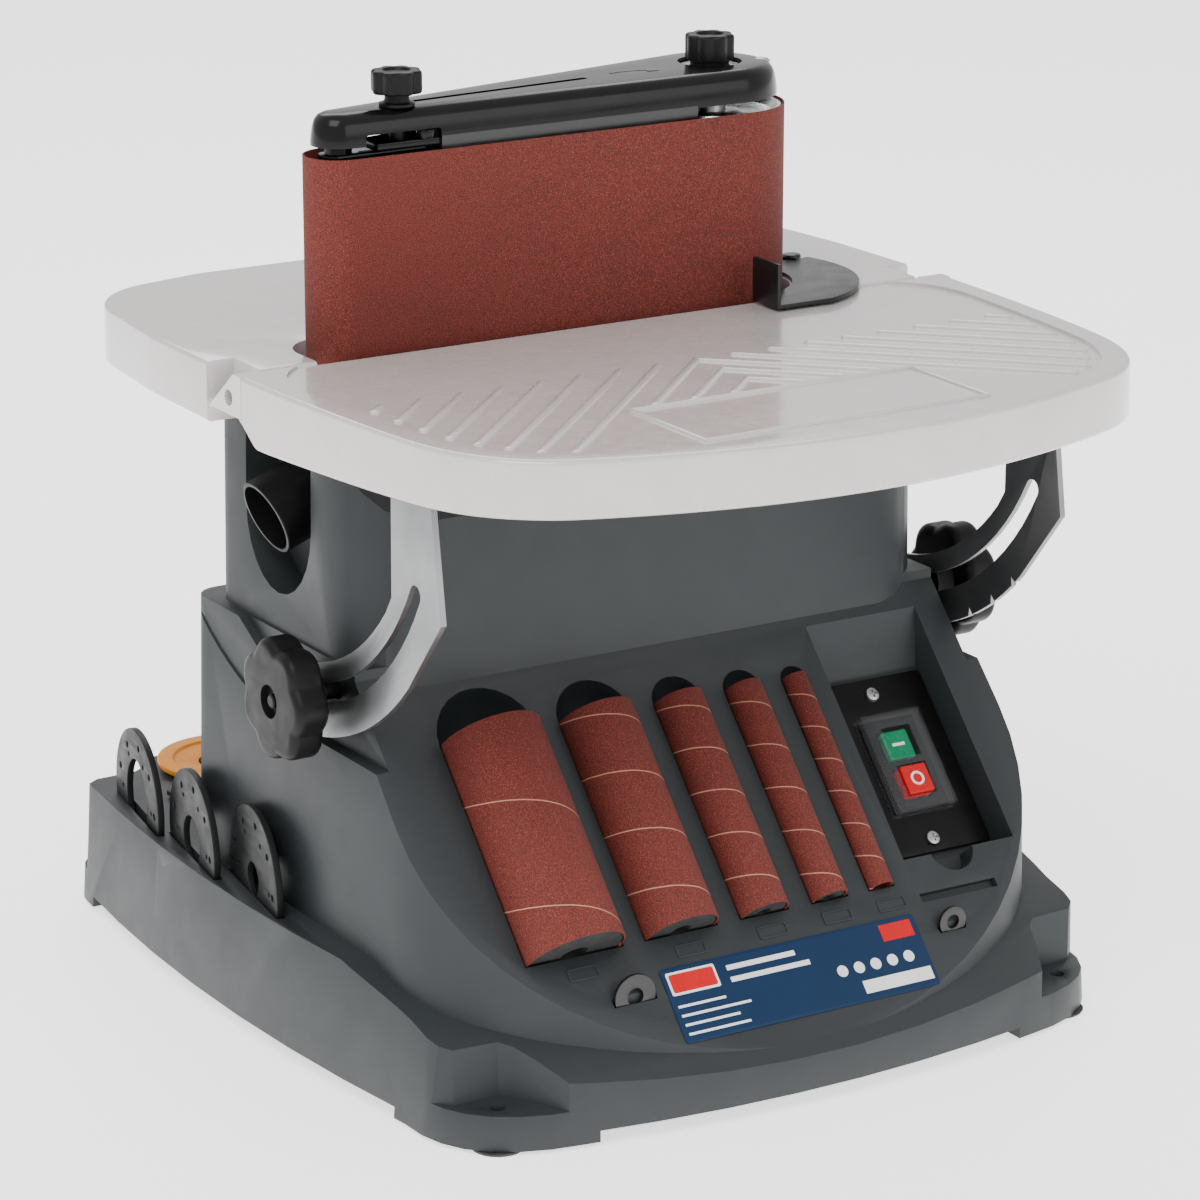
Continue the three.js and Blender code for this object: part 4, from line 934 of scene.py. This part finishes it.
# ---------------------------------------------------------------- sloping panel
SLOPE = math.radians(47.5)
PANEL = Matrix.Translation((0, -203 * MM, 19.5 * MM)) @ Matrix.Rotation(SLOPE, 4, "X")
SLEEVE_LENGTH = 114.3
SLEEVE_WALL = 1
SLEEVE_FOOT = 78  # distance of the sleeves' lower ends up the slope
SLEEVES = (
    # size, radius, place across the panel, pitch of the winding, turn of its first seam, place of the tag
    ("50mm", 25.4, -107.2, 54.0, 0.0, -106.2),
    ("38mm", 19.05, -49.3, 30.0, 1.6, -47.7),
    ("25mm", 12.7, -2.9, 22.5, 2.4, -2.2),
    ("19mm", 9.5, 34.1, 23.0, 0.8, 34.4),
    ("13mm", 6.35, 63.9, 17.5, 3.2, 65.7),
)
PRINT = (0.5, 0.72)  # lower and upper face of the label's print, out of the panel
SWITCH_POCKET = 19.6  # depth of the switch's pocket
SWITCH_PLATE_TOP = -SWITCH_POCKET + 0.3 + 2.2
SWITCH_SCREWS = (181.5, 102)  # places up the slope
SWITCH_SCREW_X = 114
BUTTON_X = 114.5
BUTTON_HALF = 7.6


def on_panel(obj):
    """Lays a piece drawn as (across, up the slope, out of the panel) on the sloping panel."""
    obj.data.transform(PANEL)
    return obj


def sleeves():
    for name, radius, x, pitch, start, _ in SLEEVES:
        profile = [
            (radius - SLEEVE_WALL, 0),
            (radius - 0.2, 0),
            (radius, 0.25),
            (radius, SLEEVE_LENGTH - 0.25),
            (radius - 0.2, SLEEVE_LENGTH),
            (radius - SLEEVE_WALL, SLEEVE_LENGTH),
            (radius - SLEEVE_WALL, 0),
        ]
        tube = turned("sleeve_" + name + "_fine", profile, 96)
        upright = Matrix.Translation((x * MM, SLEEVE_FOOT * MM, 0)) @ Matrix.Rotation(-math.pi / 2, 4, "X")
        tube.matrix_world = PANEL @ upright @ Matrix.Rotation(start, 4, "Z")
        stands_for(tube, "sleeve_" + name, sleeve_abrasive(name, pitch), angle=40)


def printed(name, outline, look="white_print", low=PRINT[0], high=PRINT[1]):
    """A thin shape printed on the label."""
    finished(on_panel(plate(name, [outline], low, high)), "base", LOOKS[look])


def label():
    """A plain blue rating label with red blocks, a white strip, blank lines and discs."""
    card = plate("label_plate", [soft_rectangle((-68.8, 74), (24.4, 61.9), 2, 6)], 0.05, 0.55, 0.1, 1)
    finished(on_panel(card), "base", LOOKS["blue_label"])
    printed("label_red_block", rectangle((53, 71), (51, 59.4)), "red")
    printed("label_white_strip", rectangle((33, 72), (28, 34.5)))
    for k, width in enumerate((34, 30, 38, 26)):
        printed(f"label_line_{k}", rectangle((-66, -66 + width), (28 + 4.6 * k, 29.2 + 4.6 * k)))
    for k, width in enumerate((44, 38)):
        printed(f"label_title_{k}", rectangle((-34, -34 + width), (48.5 + 6 * k, 51 + 6 * k)))
    for k in range(5):
        printed(f"label_disc_{k}", circle(25 + 9.5 * k, 41.5, 2.9, 32))
    printed("label_badge", soft_rectangle((-66.5, -40), (48, 59.5), 1, 4))
    printed("label_badge_red", soft_rectangle((-65.3, -41.2), (49.2, 58.3), 1, 4), "red", 0.7, 0.86)


def size_tags():
    """Small raised frames below each sleeve, where its size is moulded."""
    for name, *_, x in SLEEVES:
        outer = soft_rectangle((x - 8, x + 8), (65.5, 72), 1, 4)
        inner = soft_rectangle((x - 7.2, x + 7.2), (66.3, 71.2), 0.5, 3)
        tag = on_panel(plate("size_tag_" + name, [outer, inner], -0.3, 0.5, 0.15, 1))
        finished(tag, "base", LOOKS["housing"])


def pan_screw(name, radius, height):
    """A pan-head screw with a cross recess, standing on z = 0."""
    shoulder = [(0, -1), (radius, -1), (radius, height * 0.35), (radius * 0.85, height * 0.8)]
    head = turned(name, shoulder + [(radius * 0.5, height), (0, height), (0, -1)], 48)
    long, short = (-radius * 0.55, radius * 0.55), (-0.45, 0.45)
    depth = (height - 1.1, height + 1)
    return carved(head, brick("slot", long, short, depth), brick("slot", short, long, depth))


def button(node, v, height):
    """A square button on the switch. Gives its place across the panel and its top."""
    top = SWITCH_PLATE_TOP + height
    across_x = (BUTTON_X - BUTTON_HALF, BUTTON_X + BUTTON_HALF)
    outline = soft_rectangle(across_x, (v - BUTTON_HALF, v + BUTTON_HALF), 1.2, 5)
    body = plate(node + "_fine", [outline], SWITCH_PLATE_TOP - 7, top, 0.8, 3)
    stands_for(on_panel(body), node)
    return BUTTON_X, top


def switch():
    for k, v in enumerate(SWITCH_SCREWS):
        screw = pan_screw(f"switch_screw_{k}", 3.9, 2.2)
        lift = (SWITCH_PLATE_TOP + 0.1) * MM
        screw.data.transform(Matrix.Translation((SWITCH_SCREW_X * MM, v * MM, lift)))
        finished(on_panel(screw), "base", LOOKS["steel"])
    v = 152
    x, top = button("start_button", v, 4.4)
    bar = brick("start_mark", (x - 3.6, x + 3.6), (v - 0.75, v + 0.75), (top - 0.1, top + 0.25))
    finished(on_panel(bar), BODY_OF["start_button"], LOOKS["white_print"])
    v = 131.5
    x, top = button("stop_button", v, 8.2)
    ring = plate("stop_mark", [circle(x, v, 3.7, 48), circle(x, v, 2.5, 48)], top - 0.1, top + 0.25)
    finished(on_panel(ring), BODY_OF["stop_button"], LOOKS["white_print"])


# ---------------------------------------------------------------- stored things
INSERT_RADIUS = 36.5
INSERT_LEAN = math.radians(-9)
INSERTS = (
    # node, half width and half height of its opening
    ("table_insert_large_hole", 17, 21),
    ("table_insert_medium_hole", 13, 13),
    ("table_insert_small_hole", 8.5, 8.5),
)
PORT_TILT = math.radians(22)
PORT_MOUTH = Vector((-167, 33, 250))
PORT_REACH = 34  # how far the dust port stands out of the column


def inserts():
    """Three round table inserts with small dimples, on edge beside the housing."""
    turns = [2 * math.pi * k / 64 for k in range(64)]
    dimples = [circle(*polar((0, 0), 29, angle), 1.7, 20) for angle in range(20, 361, 40)]
    dimples += [circle(*polar((0, 0), 24, angle), 1.2, 16) for angle in range(0, 360, 60)]
    for node, wide, high in INSERTS:
        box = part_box(node)
        centre = (Vector(box[0]) + Vector(box[1])) / 2
        opening = [(wide * math.cos(t), high * math.sin(t)) for t in turns]
        outlines = [circle(0, 0, INSERT_RADIUS, 96), opening] + dimples
        disc = sideways(plate(node + "_fine", outlines, -1.7, 1.7, 0.4, 2))
        disc.data.transform(Matrix.Translation(centre) @ Matrix.Rotation(INSERT_LEAN, 4, "Z"))
        stands_for(disc, node)


def dust_port():
    along = Vector((-math.cos(PORT_TILT), 0, -math.sin(PORT_TILT)))
    length = PORT_REACH / math.cos(PORT_TILT)
    profile = [(17, 0), (18.6, 0), (19, 0.5), (19, length - 0.2), (17, length - 0.2), (17, 0)]
    tube = turned("dust_port_fine", profile, 96)
    turn = (-along).to_track_quat("Z", "Y").to_matrix().to_4x4()
    tube.data.transform(Matrix.Translation(PORT_MOUTH * MM) @ turn)
    stands_for(tube, "dust_port", angle=30)


# ---------------------------------------------------------------- the rest of the frame
EDGE = 0.35  # radius of most edges, in millimetres
EDGES = {"base_housing": 1.1, "work_stop": 0.5, "switch_plate": 0.6, "table_ring": 0.5}
FINISHES = {
    "work_stop": "stop_paint",
    "work_stop_screw": "stop_paint",
    "spindle_washer_large": "dark_steel",
    "spindle_washer_small": "dark_steel",
    "hinge_pin_left": "shadow_steel",
    "hinge_pin_right": "shadow_steel",
}


def remaining_nodes():
    """Every other CAD node, with its own shape and softer edges."""
    for node, slot in SLOT_OF.items():
        if node not in replaced_nodes:
            fine = refined(node, EDGES.get(node, EDGE))
            stands_for(fine, node, LOOKS[FINISHES.get(node, slot)], angle=32)


tilting_table()
rear_table()
sanding_belt()
belt_guard()
small_knobs()
drive_drum()
tilt_knobs()
sleeves()
label()
size_tags()
switch()
inserts()
dust_port()
remaining_nodes()


# ---------------------------------------------------------------- floor, lights and camera
def floor():
    """A plain pale floor, bright enough to run into the background."""
    bpy.ops.mesh.primitive_plane_add(size=30, location=(0, 0, 0))
    ground = bpy.context.object
    ground.name = "floor"
    s = Shader("floor_white", (0.88, 0.88, 0.88), 0.6)
    s.color(s.ramp(s.noise(3, 2), 0.3, 0.7, (0.87, 0.87, 0.87), (0.89, 0.89, 0.89)))
    s.bsdf.inputs["Emission Color"].default_value = (1, 1, 1, 1)
    s.bsdf.inputs["Emission Strength"].default_value = 1.5
    ground.data.materials.append(s.material)


def area_light(name, place, target, size, power):
    """A soft lamp at a place, aimed at a target."""
    light = bpy.data.lights.new(name, "AREA")
    light.shape = "RECTANGLE"
    light.size, light.size_y = size
    light.energy = power
    obj = linked(name, light)
    obj.location = place
    obj.rotation_euler = (Vector(target) - Vector(place)).to_track_quat("-Z", "Y").to_euler()


def lights():
    world = bpy.data.worlds.new("studio")
    world.use_nodes = True
    background = world.node_tree.nodes["Background"]
    background.inputs["Color"].default_value = (1, 1, 1, 1)
    background.inputs["Strength"].default_value = 1.05
    SCENE.world = world
    middle = (0, 0, 0.2)
    area_light("key", (-1.2, -0.9, 2.0), middle, (1.4, 1.4), 34)
    area_light("front", (0.9, -2.2, 1.1), middle, (1.6, 1.0), 12)
    area_light("back", (0.6, 1.6, 1.9), middle, (1.6, 1.0), 18)


def camera():
    data = bpy.data.cameras.new("camera")
    data.lens = 136.9
    data.sensor_width = 36
    data.clip_end = 60
    obj = linked("camera", data)
    place = (-1.1177, -1.8238, 0.8418)
    right = Vector((0.8529, -0.5220, 0.0)).normalized()
    forward = Vector((0.4995, 0.8161, -0.2909)).normalized()
    up = right.cross(forward)
    turn = Matrix((right, up, -forward)).transposed().to_4x4()
    obj.matrix_world = Matrix.Translation(place) @ turn
    SCENE.camera = obj


floor()
lights()
camera()
